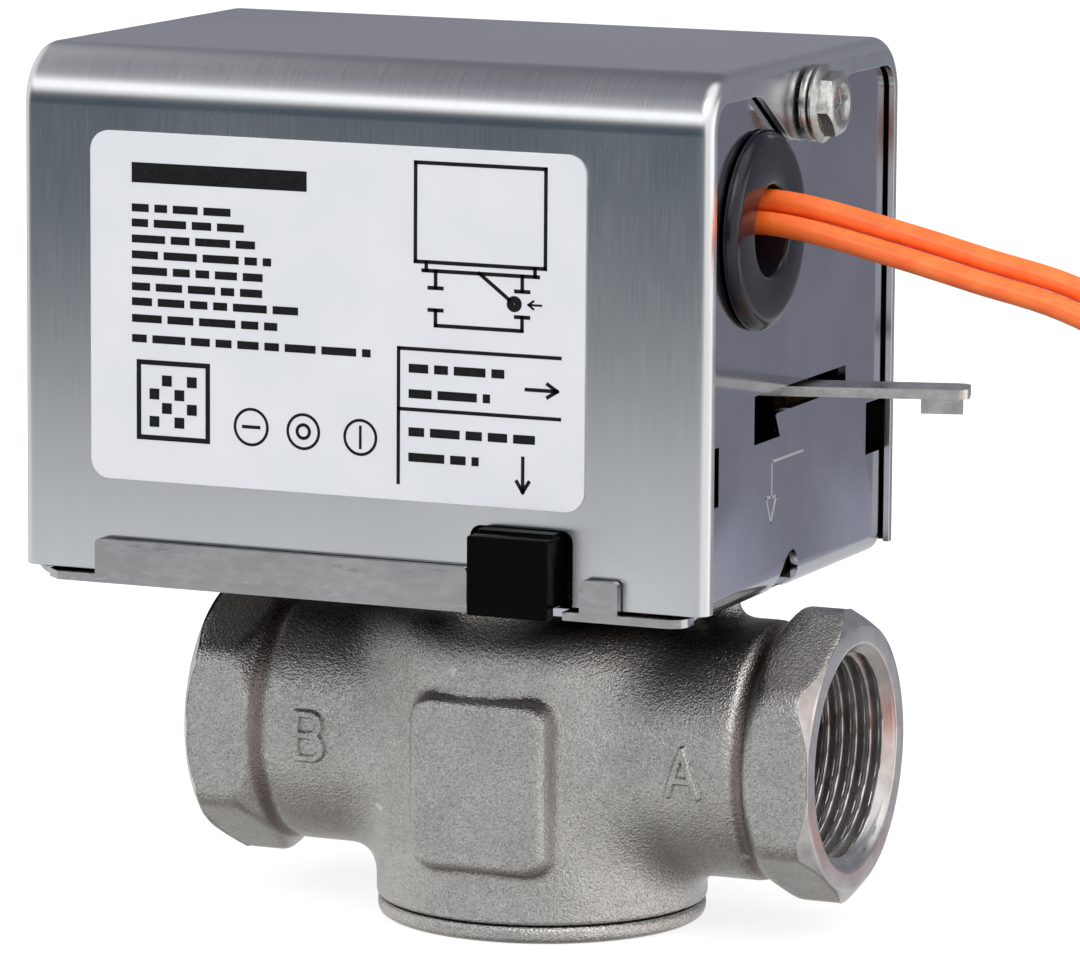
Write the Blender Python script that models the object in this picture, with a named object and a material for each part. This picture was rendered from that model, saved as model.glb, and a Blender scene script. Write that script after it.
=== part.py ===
# Motorised two-port zone valve: cast valve body with a spring-return
# synchronous-motor actuator in a folded sheet-metal housing.
#
# Frame: origin at the centre of the bottom plug's face, which the valve stands
# on.  +X runs along the pipe axis towards port A, -Y is the front of the
# housing (label and release button), +Z is up.  All values below are in
# millimetres and are turned into metres by MM.

import bpy
import bmesh
import math
from mathutils import Vector, Matrix

MM = 0.001
GAP = 0.3                     # clearance kept between touching pieces

# ---------------------------------------------------------------- dimensions
# valve body
PORT_X = 40.7                 # port faces at +/- this
PORT_Z = 22.4                 # height of the pipe axis
PIPE_R = 15.7
HEX_AF = 32.0                 # across flats of the port ends
HEX_TURN_R = 17.8             # turned outer radius of the port ends
HEX_BACK = 32.6
THREAD_R = 12.1               # bore at the thread crests
SINK_R = 15.0                 # mouth of the countersink
CHAMBER_R = 20.2
CAVITY_R = 16.0
PLUG_R = 19.95
PLUG_BORE_R = 16.5
PAD_X, PAD_Z0, PAD_Z1, PAD_Y = 9.4, 8.4, 29.6, -21.6
STEM_Y = -11.5                # stem and drive axis
BOSS_R = 6.8
BOSS_TOP = 42.1
NECK_R = 5.0
GROOVE_R = 4.0
NECK_TOP = 47.2
POST_X = 23.7
SEAT_X = -9.16                # face of the seat nozzle
SEAT_R = 5.0
BALL_R = 6.8
REST_ANGLE = math.radians(20.0)
ARM_L = -STEM_Y / math.cos(REST_ANGLE)
BALL_X = -ARM_L * math.sin(REST_ANGLE)

# housing
CX0, CX1 = -54.8, 33.7        # ends of the cover
CY = 31.2                     # half depth of the cover
CZ0, CZ1 = 43.7, 106.3
BEND_R = 7.0
SHEET = 0.8
LIP = 2.4                     # width of the return lips, front and rear
LIP_TOP = 3.5
BASE_Z0, BASE_T = 42.4, 1.0
EX0, EX1 = -54.0 + GAP, 32.9 - GAP   # outer faces of the end plates
END_T = 1.0
END_TOP = 105.1
GROM_Y, GROM_Z = -13.2, 86.8
GROM_R = 11.8
GROM_HOLE_R = 5.3
SCREW_Y, SCREW_Z = 0.0, 100.6

# lever and drive
LEVER_ANG = math.radians(16.6)
LEVER_W = 6.0
LEVER_Z0, LEVER_T = 65.4, 1.2
LEVER_PT = (33.4, 3.7)        # a point on the lever's centre line
LEVER_TIP_X = 52.0
SWING = 23.0                  # degrees, closed to open
MODULE = 1.0
N_SECTOR, N_PINION = 48, 12
GEAR_DIST = MODULE * (N_SECTOR + N_PINION) / 2.0
MESH_ANG = math.radians(150.0)
PIN_X = GEAR_DIST * math.cos(MESH_ANG)
PIN_Y = STEM_Y + GEAR_DIST * math.sin(MESH_ANG)

# leads
LEAD_D = 2.8
LEAD_R = LEAD_D / 2.0
PAIR = 3.1                    # spacing of the two leads
COIL_C = (91.0, 14.0)
COIL_R = 14.15
COIL_PITCH = 3.05
COIL_Z0 = 2.25                # centre height of the lowest turn
COIL_IN = math.radians(-20.0)
COIL_OUT = math.radians(60.0)
COIL_TURNS = 3
TAIL_A, TAIL_B = 22.0, 44.0    # free ends beyond the coil, bare wire included

# ------------------------------------------------------------------- helpers
for o in list(bpy.data.objects):
    bpy.data.objects.remove(o, do_unlink=True)
for m in list(bpy.data.meshes):
    bpy.data.meshes.remove(m)

SCENE = bpy.context.scene
MATS = {}


def material(name, rgb, metallic, rough):
    if name in MATS:
        return MATS[name]
    m = bpy.data.materials.new(name)
    m.use_nodes = True
    b = m.node_tree.nodes.get("Principled BSDF")
    b.inputs["Base Color"].default_value = (rgb[0], rgb[1], rgb[2], 1.0)
    b.inputs["Metallic"].default_value = metallic
    b.inputs["Roughness"].default_value = rough
    m.diffuse_color = (rgb[0], rgb[1], rgb[2], 1.0)
    m.metallic = metallic
    m.roughness = rough
    MATS[name] = m
    return m


CAST = ("cast_stainless", (0.47, 0.45, 0.42), 1.0, 0.45)
SHEETM = ("brushed_steel", (0.62, 0.64, 0.66), 1.0, 0.3)
PLATE = ("plate_steel", (0.42, 0.43, 0.46), 1.0, 0.25)
ZINC = ("zinc_steel", (0.66, 0.66, 0.64), 1.0, 0.35)
STEEL = ("machined_steel", (0.6, 0.6, 0.6), 1.0, 0.3)
BRASS = ("brass", (0.72, 0.55, 0.28), 1.0, 0.3)
RUBBER = ("black_rubber", (0.02, 0.02, 0.025), 0.0, 0.55)
BLACKP = ("black_plastic", (0.015, 0.015, 0.017), 0.0, 0.35)
LABELM = ("label_film", (0.80, 0.82, 0.85), 0.0, 0.45)
ORANGE = ("orange_insulation", (0.9, 0.22, 0.04), 0.0, 0.4)
WHITEP = ("white_plastic", (0.75, 0.74, 0.7), 0.0, 0.4)
TINNED = ("tinned_copper", (0.7, 0.7, 0.7), 1.0, 0.3)
SPRING = ("spring_steel", (0.45, 0.45, 0.46), 1.0, 0.3)
GLASSN = ("gear_nylon", (0.7, 0.68, 0.6), 0.0, 0.45)


def link(name, mesh, mat=None):
    ob = bpy.data.objects.new(name, mesh)
    SCENE.collection.objects.link(ob)
    if mat:
        mesh.materials.clear()
        mesh.materials.append(material(*mat))
    return ob


def from_bm(name, bm, mat=None, smooth=None):
    bmesh.ops.recalc_face_normals(bm, faces=bm.faces[:])
    me = bpy.data.meshes.new(name)
    bm.to_mesh(me)
    bm.free()
    ob = link(name, me, mat)
    if smooth:
        shade(ob, smooth)
    return ob


def shade(ob, angle=35.0):
    me = ob.data
    me.shade_smooth()
    me.set_sharp_from_angle(angle=math.radians(angle))
    return ob


def box(name, x0, x1, y0, y1, z0, z1, mat=None):
    bm = bmesh.new()
    bmesh.ops.create_cube(bm, size=1.0)
    for v in bm.verts:
        v.co = Vector(((x0 + x1) / 2 + v.co.x * (x1 - x0),
                       (y0 + y1) / 2 + v.co.y * (y1 - y0),
                       (z0 + z1) / 2 + v.co.z * (z1 - z0))) * MM
    return from_bm(name, bm, mat)


AXES = {"x": lambda a, b, h: (h, a, b), "y": lambda a, b, h: (a, h, b),
        "z": lambda a, b, h: (a, b, h)}


def prism(name, pts, axis, lo, hi, mat=None):
    """Closed prism of a 2-D outline: (y,z) for x, (x,z) for y, (x,y) for z."""
    bm = bmesh.new()
    f = AXES[axis]
    a = [bm.verts.new(Vector(f(p[0], p[1], lo)) * MM) for p in pts]
    b = [bm.verts.new(Vector(f(p[0], p[1], hi)) * MM) for p in pts]
    n = len(pts)
    bm.faces.new(a)
    bm.faces.new(b[::-1])
    for i in range(n):
        bm.faces.new((a[i], a[(i + 1) % n], b[(i + 1) % n], b[i]))
    return from_bm(name, bm, mat)


def lathe(name, prof, seg, centre=(0, 0, 0), axis="z", mat=None, closed=False):
    """Turn a (radius, height) profile.  An open profile starts and ends on
    the axis (radius 0); a closed one makes a ring."""
    bm = bmesh.new()
    rings = []
    cx, cy, cz = centre
    for r, h in prof:
        if r < 1e-6 and not closed:
            p = {"z": (cx, cy, cz + h), "x": (cx + h, cy, cz),
                 "y": (cx, cy + h, cz)}[axis]
            rings.append([bm.verts.new(Vector(p) * MM)])
            continue
        row = []
        for k in range(seg):
            t = 2 * math.pi * (k + 0.5) / seg
            a, b = r * math.cos(t), r * math.sin(t)
            p = {"z": (cx + a, cy + b, cz + h), "x": (cx + h, cy + a, cz + b),
                 "y": (cx + a, cy + h, cz + b)}[axis]
            row.append(bm.verts.new(Vector(p) * MM))
        rings.append(row)
    m = len(rings)
    for i in range(m if closed else m - 1):
        a, b = rings[i], rings[(i + 1) % m]
        if len(a) == 1 and len(b) == 1:
            continue
        for k in range(seg):
            k2 = (k + 1) % seg
            if len(a) == 1:
                bm.faces.new((a[0], b[k], b[k2]))
            elif len(b) == 1:
                bm.faces.new((a[k2], a[k], b[0]))
            else:
                bm.faces.new((a[k], b[k], b[k2], a[k2]))
    return from_bm(name, bm, mat, 35.0)


def rod(name, r, lo, hi, centre=(0, 0, 0), axis="z", seg=24, mat=None, ch=0.0):
    if ch:
        prof = [(0, lo), (r - ch, lo), (r, lo + ch), (r, hi - ch),
                (r - ch, hi), (0, hi)]
    else:
        prof = [(0, lo), (r, lo), (r, hi), (0, hi)]
    return lathe(name, prof, seg, centre, axis, mat)


def torus(name, big, small, z, centre, seg=32, sides=10, mat=None):
    prof = [(big + small * math.cos(2 * math.pi * k / sides),
             z + small * math.sin(2 * math.pi * k / sides))
            for k in range(sides)]
    return lathe(name, prof, seg, centre, "z", mat, closed=True)


def arc(cx, cy, r, a0, a1, n):
    return [(cx + r * math.cos(math.radians(a0 + (a1 - a0) * k / n)),
             cy + r * math.sin(math.radians(a0 + (a1 - a0) * k / n)))
            for k in range(n + 1)]


def rounded_rect(x0, x1, y0, y1, r, n=5):
    return (arc(x1 - r, y1 - r, r, 0, 90, n) + arc(x0 + r, y1 - r, r, 90, 180, n)
            + arc(x0 + r, y0 + r, r, 180, 270, n)
            + arc(x1 - r, y0 + r, r, 270, 360, n))


def combine(ob, other, op):
    """Apply one exact Boolean and drop the tool solid."""
    mod = ob.modifiers.new("b", 'BOOLEAN')
    mod.operation = op
    mod.solver = 'EXACT'
    mod.object = other
    deps = bpy.context.evaluated_depsgraph_get()
    me = bpy.data.meshes.new_from_object(ob.evaluated_get(deps))
    old = ob.data
    ob.modifiers.clear()
    ob.data = me
    me.name = ob.name
    if other.data.users <= 1:
        bpy.data.objects.remove(other, do_unlink=True)
    else:
        bpy.data.objects.remove(other, do_unlink=True)
    bpy.data.meshes.remove(old)
    return ob


def cut(ob, *others):
    for o in others:
        combine(ob, o, 'DIFFERENCE')
    return ob


def join(ob, *others):
    for o in others:
        combine(ob, o, 'UNION')
    return ob


def finish(ob, mat, angle=35.0):
    """Weld hair-line vertices, keep one material, shade round faces."""
    bm = bmesh.new()
    bm.from_mesh(ob.data)
    bmesh.ops.remove_doubles(bm, verts=bm.verts[:], dist=0.000004)
    bmesh.ops.dissolve_degenerate(bm, edges=bm.edges[:], dist=0.000002)
    bm.to_mesh(ob.data)
    bm.free()
    ob.data.materials.clear()
    ob.data.materials.append(material(*mat))
    for p in ob.data.polygons:
        p.material_index = 0
    return shade(ob, angle)


def set_origin(ob, x, y, z):
    """Put the object's origin on its joint's axis without moving the mesh."""
    p = Vector((x, y, z)) * MM
    ob.data.transform(Matrix.Translation(-p))
    ob.location = p
    return ob


def bevel(ob, width, seg=2, angle=40.0):
    bm = bmesh.new()
    bm.from_mesh(ob.data)
    edges = [e for e in bm.edges if len(e.link_faces) == 2
             and e.calc_face_angle(0) > math.radians(angle)]
    bmesh.ops.bevel(bm, geom=edges, offset=width * MM, segments=seg,
                    profile=0.5, affect='EDGES', clamp_overlap=True)
    bm.to_mesh(ob.data)
    bm.free()
    return ob


def tube(name, pts, r, mat, res=2):
    """Round wire or insulated lead through computed points."""
    cu = bpy.data.curves.new(name, 'CURVE')
    cu.dimensions = '3D'
    cu.bevel_depth = r * MM
    cu.bevel_resolution = res
    cu.use_fill_caps = True
    sp = cu.splines.new('POLY')
    sp.points.add(len(pts) - 1)
    for q, p in zip(sp.points, pts):
        q.co = (p[0] * MM, p[1] * MM, p[2] * MM, 1.0)
    ob = bpy.data.objects.new(name, cu)
    SCENE.collection.objects.link(ob)
    cu.materials.append(material(*mat))
    return ob


# ---------------------------------------------------------------- valve body
def hexagon(af):
    rr = af / math.sqrt(3.0)
    return [(rr * math.cos(math.radians(90 + 60 * k)),
             PORT_Z + rr * math.sin(math.radians(90 + 60 * k)))
            for k in range(6)]


def hex_frame(sign):
    """Cutter that leaves the hexagon of one port end."""
    lo, hi = sorted((sign * (HEX_BACK - 1.4), sign * (PORT_X + 1)))
    f = rod("t", 24.0, lo, hi, (0, 0, PORT_Z), "x", 12)
    return combine(f, prism("h", hexagon(HEX_AF), "x", lo - 1, hi + 1), 'DIFFERENCE')


chamber_prof = ([(0, 2.5), (CHAMBER_R - 0.3, 2.5), (CHAMBER_R, 2.8), (CHAMBER_R, 29.0)]
                + [(14.2 + 6.0 * math.cos(math.radians(a)),
                    31.4 + 7.0 * math.sin(math.radians(a))) for a in (15, 40, 65, 85)]
                + [(9.0, 38.6), (0, 38.8)])
body = lathe("valve_body", chamber_prof, 44)
# pipe stubs with a swell where they meet the chamber, and the turned port ends
half_pipe = [(18.1, 14.0), (17.5, 19.5), (16.6, 22.5), (15.9, 25.5), (PIPE_R, 27.5),
             (PIPE_R, HEX_BACK - 0.6), (HEX_TURN_R, HEX_BACK + 1.2),
             (HEX_TURN_R, PORT_X - 1.5), (16.0, PORT_X), (0, PORT_X)]
pipe_prof = [(r, -h) for r, h in reversed(half_pipe)] + half_pipe
tube_body = lathe("t", pipe_prof, 36, (0, 0, PORT_Z), "x")
for s in (1, -1):
    cut(tube_body, hex_frame(s))
join(body, tube_body)
pad = prism("t", rounded_rect(-PAD_X, PAD_X, PAD_Z0, PAD_Z1, 2.4, 4), "y", PAD_Y, -12.0)
join(body, pad)
neck_prof = [(0, 30.0), (BOSS_R + 0.8, 30.0), (BOSS_R + 0.4, 38.0), (BOSS_R, 39.6),
             (BOSS_R, BOSS_TOP), (NECK_R, BOSS_TOP), (NECK_R, 43.5),
             (GROOVE_R, 43.5), (GROOVE_R, 45.1), (NECK_R, 45.1),
             (NECK_R, NECK_TOP - 0.6), (NECK_R - 0.6, NECK_TOP), (0, NECK_TOP)]
join(body, lathe("t", neck_prof, 24, (0, STEM_Y, 0)))
for s in (1, -1):
    post = [(0, 30.0), (2.9, 30.0), (2.6, 38.0), (1.8, 39.2), (1.7, BOSS_TOP),
            (1.0, BOSS_TOP), (1.0, 44.6), (0.8, 44.9), (0, 44.9)]
    join(body, lathe("t", post, 14, (s * POST_X, 0, 0)))
# inside: chamber, plug bore, seat nozzle, port bores, stem bore
cut(body, lathe("t", [(0, 0), (PLUG_BORE_R, 0), (PLUG_BORE_R, 7.6), (CAVITY_R, 7.9),
                      (CAVITY_R, 30.0), (14.6, 33.2), (0, 33.2)], 36))
nozzle = [(0, -18.5), (7.9, -18.5), (7.6, SEAT_X - 0.5), (7.1, SEAT_X), (0, SEAT_X)]
join(body, lathe("t", nozzle, 24, (0, 0, PORT_Z), "x"))
cut(body, lathe("t", [(0, 8.0), (9.5, 8.0), (9.5, 25.8), (THREAD_R, 27.0),
                      (THREAD_R, PORT_X - 2.6), (SINK_R, PORT_X), (SINK_R, PORT_X + 2),
                      (0, PORT_X + 2)], 32, (0, 0, PORT_Z), "x"))
cut(body, lathe("t", [(0, -6.0), (SEAT_R, -6.0), (SEAT_R, -25.8), (THREAD_R, -27.0),
                      (THREAD_R, -PORT_X + 2.6), (SINK_R, -PORT_X),
                      (SINK_R, -PORT_X - 2), (0, -PORT_X - 2)], 32, (0, 0, PORT_Z), "x"))
cut(body, lathe("t", [(0, 31.0), (4.4, 31.0), (4.4, 41.2), (2.75, 41.2),
                      (2.75, 48.5), (0, 48.5)], 20, (0, STEM_Y, 0)))
finish(body, CAST, 32.0)

plug = lathe("bottom_plug", [(0, 0), (PLUG_R - 0.5, 0), (PLUG_R, 0.5), (PLUG_R, 2.2),
                             (16.2, 2.2), (16.2, 3.8), (14.4, 3.8), (14.4, 5.6),
                             (16.2, 5.6), (16.2, 6.8), (15.8, 7.2), (0, 7.2)], 44)
finish(plug, CAST)
torus("plug_o_ring", 15.4, 0.7, 4.7, (0, 0, 0), 32, 6, RUBBER)

# ------------------------------------------------- stem, seals, arm and ball
c_stem = (0, STEM_Y, 0)
lathe("gland_washer", [(2.8, 33.5), (4.1, 33.5), (4.1, 34.5), (2.8, 34.5)], 18, c_stem,
      mat=STEEL, closed=True)
torus("stem_o_ring", 3.45, 0.6, 35.5, c_stem, 18, 6, RUBBER)
lathe("stem_bush", [(2.75, 36.5), (4.1, 36.5), (4.1, 40.9), (2.75, 40.9)], 18, c_stem,
      mat=BRASS, closed=True)
stem = lathe("valve_stem", [(0, 27.6), (2.1, 27.6), (2.5, 28.0), (2.5, 28.5), (2.0, 28.5),
                            (2.0, 29.2), (2.5, 29.2), (2.5, 59.4), (2.1, 59.9), (0, 59.9)],
             18, c_stem, mat=STEEL)
# drive flat near the top of the stem
cut(stem, box("t", -4, 4, STEM_Y + 1.9, STEM_Y + 4, 50.0, 62.0))
finish(stem, STEEL)
set_origin(stem, 0, STEM_Y, 0)

ball_c = (BALL_X, 0.0)
arm_dir = math.atan2(-STEM_Y, BALL_X)
hw = 3.4


def capsule(p, q, r, n=6):
    a = math.degrees(math.atan2(q[1] - p[1], q[0] - p[0]))
    return (arc(q[0], q[1], r, a - 90, a + 90, n)
            + arc(p[0], p[1], r, a + 90, a + 270, n))


arm = prism("paddle_arm", capsule((0, STEM_Y), ball_c, hw), "z", 29.6, 31.8)
cut(arm, rod("t", 2.75, 28, 33, c_stem), rod("t", 1.45, 28, 33, (ball_c[0], 0, 0)))
finish(arm, STEEL)
set_origin(arm, 0, STEM_Y, 0)
clip = lathe("stem_clip", [(2.25, 28.6), (3.9, 28.6), (3.9, 29.1), (2.25, 29.1)], 20,
             c_stem, closed=True)
finish(clip, SPRING)
set_origin(clip, 0, STEM_Y, 0)
pin = lathe("ball_pin", [(0, 20.5), (1.0, 20.5), (1.2, 20.8), (1.2, 32.1), (2.1, 32.1),
                         (2.1, 32.6), (1.8, 32.9), (0, 32.9)], 12, (ball_c[0], 0, 0), mat=STEEL)
set_origin(pin, 0, STEM_Y, 0)
ball = lathe("paddle_ball",
             [(0, PORT_Z - BALL_R)] + [(BALL_R * math.sin(math.radians(a)),
                                        PORT_Z - BALL_R * math.cos(math.radians(a)))
                                       for a in range(15, 166, 15)]
             + [(1.5, PORT_Z + BALL_R - 0.15), (1.5, 20.1), (0, 20.1)], 24,
             (ball_c[0], 0, 0), mat=RUBBER)
set_origin(ball, 0, STEM_Y, 0)

# ------------------------------------------------------------------- chassis
zi, zo = BASE_Z0 + BASE_T, BASE_Z0
ro, ri = 2.5, 1.5
u = ([(EX0, END_TOP)] + arc(EX0 + ro, zo + ro, ro, 180, 270, 4)
     + arc(EX1 - ro, zo + ro, ro, 270, 360, 4) + [(EX1, END_TOP), (EX1 - END_T, END_TOP)]
     + arc(EX1 - ro, zo + ro, ri, 0, -90, 4) + arc(EX0 + ro, zo + ro, ri, 270, 180, 4)
     + [(EX0 + END_T, END_TOP)])
FRONT_EDGE, REAR_EDGE = -29.8, 27.6
chassis = prism("base_chassis", u, "y", FRONT_EDGE, REAR_EDGE)
SO, SI = 32.7, 31.6           # outer and inner faces of the outside flanges
apron = [(-51.3, -29.0), (-51.3, -31.0), (-49.4, -SO), (29.4, -SO), (31.4, -30.8),
         (31.4, -29.0)]
join(chassis, prism("t", apron, "z", zo, zi))
join(chassis, prism("t", [(-51.3, 27.0), (31.4, 27.0), (31.4, 30.8), (29.4, SO),
                          (-49.4, SO), (-51.3, 31.0)], "z", zo, zi))
flange = [(x, z) for x, z in [(-44.4, zo + 0.4), (4.2, zo + 0.4), (4.2, 47.3), (3.7, 47.7),
                              (-43.9, 47.7), (-44.4, 47.3)]]
join(chassis, prism("t", flange, "y", -SO + 0.02, -SI))
join(chassis, prism("t", [(18.5, zo + 0.4), (23.3, zo + 0.4), (23.3, 46.9), (22.8, 47.3),
                          (19.0, 47.3), (18.5, 46.9)], "y", -SO + 0.02, -SI))
join(chassis, prism("t", [(-44.4, zo + 0.4), (24.2, zo + 0.4), (24.2, 47.3), (23.7, 47.7),
                          (-43.9, 47.7), (-44.4, 47.3)], "y", SI, SO - 0.02))
# round the end plates' top corners to sit inside the cover's bends
for sy in (-1, 1):
    cc = CY - BEND_R
    corner = [(-cc + a_, b_) for a_, b_ in arc(0, CZ1 - BEND_R, BEND_R - SHEET - 0.5, 180, 90, 5)]
    corner = [(-36.0, CZ1 - BEND_R)] + corner + [(-cc, 110.0), (-36.0, 110.0)]
    if sy > 0:
        corner = [(-a_, b_) for a_, b_ in reversed(corner)]
    cut(chassis, prism("t", corner, "x", -60, 40))
# clearance in the front flange for the release button
cut(chassis, box("t", 5.0, 16.4, -34.0, -30.4, 41.0, 45.0))
# spring lug
join(chassis, box("t", 7.4, 13.6, 6.6, 7.6, zi - 0.5, 50.0))
# holes in the base
cut(chassis, rod("t", NECK_R + 0.4, 40, 45, c_stem, seg=32))
for s in (1, -1):
    cut(chassis, rod("t", 1.35, 40, 45, (s * POST_X, 0, 0), seg=16))
cut(chassis, rod("t", 1.5, 40, 45, (10.5, -18.5, 0), seg=16))
# right end plate: cable hole, lever slot with its hold-open notch, screw hole,
# two small windows and the notch in the bottom bend
cut(chassis, rod("t", 9.0, 28, 36, (0, GROM_Y, GROM_Z), "x", 32))
slot = [(-13.7, 61.4), (-5.8, 61.4), (-5.8, 64.4), (16.1, 64.4), (16.1, 67.2), (-13.7, 67.2)]
cut(chassis, prism("t", slot, "x", 28, 36))
cut(chassis, rod("t", 1.9, 28, 36, (0, SCREW_Y, SCREW_Z), "x", 20))
cut(chassis, prism("t", [(-31.0, 55.7), (-24.7, 55.7), (-24.7, 62.7), (-31.0, 62.7)],
                   "x", 28, 36))
cut(chassis, prism("t", [(23.2, 55.2), (28.5, 55.2), (28.5, 61.6), (23.2, 61.6)],
                   "x", 28, 36))
cut(chassis, prism("t", [(-8.2, 41.0), (0.6, 41.0), (0.6, 46.4), (-0.6, 47.2), (-2.2, 46.6)],
                   "x", 30.4, 36))
# left end plate: two ventilation slots and a matching window
for y in (-14.0, 0.0, 14.0):
    cut(chassis, prism("t", rounded_rect(y - 1.5, y + 1.5, 60.0, 76.0, 1.4, 3), "x", -58, -50))
finish(chassis, PLATE, 30.0)

# --------------------------------------------------------------------- cover
def housing(off, bottom):
    r = max(BEND_R - off, 0.8)
    y, top = CY - off, CZ1 - off
    return ([(-y, bottom)] + arc(-y + r, top - r, r, 180, 90, 6)
            + arc(y - r, top - r, r, 90, 0, 6) + [(y, bottom)])


cover = prism("cover", housing(0.0, CZ0), "x", CX0, CX1)
cut(cover, prism("t", housing(SHEET, CZ0 - 2), "x", CX0 + SHEET, CX1 - SHEET))
LP = CY - LIP
lip = ([(-LP, CZ0 - 2)] + arc(-LP + 3.2, CZ1 - LIP_TOP - 3.2, 3.2, 180, 90, 4)
       + arc(LP - 3.2, CZ1 - LIP_TOP - 3.2, 3.2, 90, 0, 4) + [(LP, CZ0 - 2)])
cut(cover, prism("t", lip, "x", CX0 - 1, CX0 + SHEET + 0.2))
zt = CZ1 - LIP_TOP
lip_tab = ([(-LP, CZ0 - 2)] + arc(-LP + 3.2, zt - 3.2, 3.2, 180, 90, 4)
           + [(-16.0, zt), (-14.9, zt - 0.3), (-6.8, 97.4), (-5.4, 96.7), (-3.2, 96.2), (3.2, 96.2),
              (5.4, 96.7), (6.8, 97.4), (12.8, zt - 0.3), (13.8, zt)]
           + arc(LP - 3.2, zt - 3.2, 3.2, 90, 0, 4) + [(LP, CZ0 - 2)])
cut(cover, prism("t", lip_tab, "x", CX1 - SHEET - 0.2, CX1 + 1))
cut(cover, rod("t", 2.3, CX1 - 3, CX1 + 2, (0, SCREW_Y, SCREW_Z), "x", 20))
# front cut-out for the release button, rounded at its top corners
cut(cover, prism("t", [(4.0, CZ0 - 1), (17.0, CZ0 - 1)] + arc(15.6, 51.2, 1.4, 0, 90, 4)
                 + arc(5.4, 51.2, 1.4, 90, 180, 4), "y", -CY - 1, -CY + SHEET + 0.4))
# small locating nick in the left edge of the top
cut(cover, box("t", CX0 - 1, CX0 + 1.4, 5.0, 9.0, CZ1 - 2.0, CZ1 + 1))
finish(cover, SHEETM, 30.0)

# cover screw: flanged hexagon head, washer and clinch nut behind the end plate
hx = [(3.45 * 2 / math.sqrt(3) * math.cos(math.radians(30 + 60 * k)),
       3.45 * 2 / math.sqrt(3) * math.sin(math.radians(30 + 60 * k))) for k in range(6)]
hx = [(SCREW_Y + a, SCREW_Z + b) for a, b in hx]
sx = CX1 + 0.3 + 0.9 + 0.25    # seat of the flange, outside the washer
screw = lathe("cover_screw", [(0, sx), (4.7, sx), (4.7, sx + 0.5), (3.9, sx + 1.0), (0, sx + 1.0)],
              32, (0, SCREW_Y, SCREW_Z), "x")
head = prism("t", hx, "x", sx + 0.5, sx + 3.6)
dome = lathe("t", [(0, sx + 0.2), (4.3, sx + 0.2), (4.3, sx + 3.1), (3.4, sx + 3.6), (0, sx + 3.6)],
             32, (0, SCREW_Y, SCREW_Z), "x")
combine(head, dome, 'INTERSECT')
join(screw, head)
join(screw, rod("t", 1.6, 25.5, sx + 0.4, (0, SCREW_Y, SCREW_Z), "x", 20))
finish(screw, ZINC)
lathe("screw_washer", [(2.2, CX1 + 0.3), (4.6, CX1 + 0.3), (4.6, CX1 + 1.2), (2.2, CX1 + 1.2)],
      28, (0, SCREW_Y, SCREW_Z), "x", mat=ZINC, closed=True)
nut_x = EX1 - END_T - GAP
nut = prism("clinch_nut", [(SCREW_Y + 3.6 * math.cos(math.radians(60 * k)),
                            SCREW_Z + 3.6 * math.sin(math.radians(60 * k))) for k in range(6)],
            "x", nut_x - 2.6, nut_x)
cut(nut, rod("t", 1.9, nut_x - 4, nut_x + 2, (0, SCREW_Y, SCREW_Z), "x", 20))
finish(nut, ZINC)

# label: a thin film on the front panel
prism("label", rounded_rect(-45.4, 18.5, 54.9, 96.5, 2.4, 4), "y", -CY - 0.36, -CY - 0.21,
      LABELM)

# grommet: outer flange, neck through the end plate, inner flange
gx = EX1
grom = [(GROM_HOLE_R, gx - 2.6), (GROM_HOLE_R, gx + 1.5), (GROM_HOLE_R + 0.4, gx + 1.9),
        (GROM_R - 1.4, gx + 1.9), (GROM_R - 0.3, gx + 1.5), (GROM_R, gx + 0.9),
        (GROM_R, gx + GAP), (8.7, gx + GAP), (8.7, gx - END_T - GAP),
        (10.6, gx - END_T - GAP), (10.6, gx - 2.6)]
lathe("cable_grommet", grom, 32, (0, GROM_Y, GROM_Z), "x", mat=RUBBER, closed=True)

# ------------------------------------------------- release button and latch
btn = box("release_button", 5.6, 15.8, -36.0, -28.6, 43.8, 52.1)
bevel(btn, 0.5, 2)
join(btn, box("t", 5.7, 15.7, -35.7, -33.7, 42.7, 46.0))
join(btn, box("t", 2.6, 18.6, -30.0, -28.4, 45.2, 54.2))
finish(btn, BLACKP)
set_origin(btn, 10.7, -32.0, 48.0)

latch = prism("latch_plate", [(-8.6, -24.6), (-6.6, -26.6), (6.0, -26.6), (6.0, -27.2),
                              (15.0, -27.2), (15.0, -6.9), (-6.6, -6.9), (-8.6, -8.9)][:],
              "z", 43.8, 44.8)
join(latch, box("t", 6.0, 15.0, -28.1, -27.2 + 0.05, 43.8, 50.6))
join(latch, box("t", 7.4, 13.6, -7.5, -6.9 + 0.3, 43.8, 50.0))
key = capsule((0, STEM_Y - 3.4), (0, STEM_Y), 4.25, 10)
cut(latch, prism("t", key, "z", 43, 46))
cut(latch, rod("t", 5.5, 43, 46, (0, STEM_Y - 3.4, 0), seg=28))
cut(latch, prism("t", capsule((10.5, -18.5 - 3.4), (10.5, -18.5), 1.5, 6), "z", 43, 46))
finish(latch, ZINC)
set_origin(latch, 10.7, -32.0, 48.0)
lathe("latch_rivet", [(0, 42.5), (1.2, 42.5), (1.2, 45.2), (2.4, 45.2), (2.4, 45.6),
                      (1.9, 46.1), (0, 46.1)], 20, (10.5, -18.5, 0), mat=ZINC)


def helix(centre, axis, r, lo, hi, turns, per, phase=0.0):
    pts = []
    n = int(turns * per)
    for k in range(n + 1):
        t = 2 * math.pi * k / per + phase
        a, b = r * math.cos(t), r * math.sin(t)
        h = lo + (hi - lo) * k / n
        if axis == "z":
            pts.append((centre[0] + a, centre[1] + b, h))
        else:
            pts.append((centre[0] + a, h, centre[2] + b))
    return pts


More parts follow.
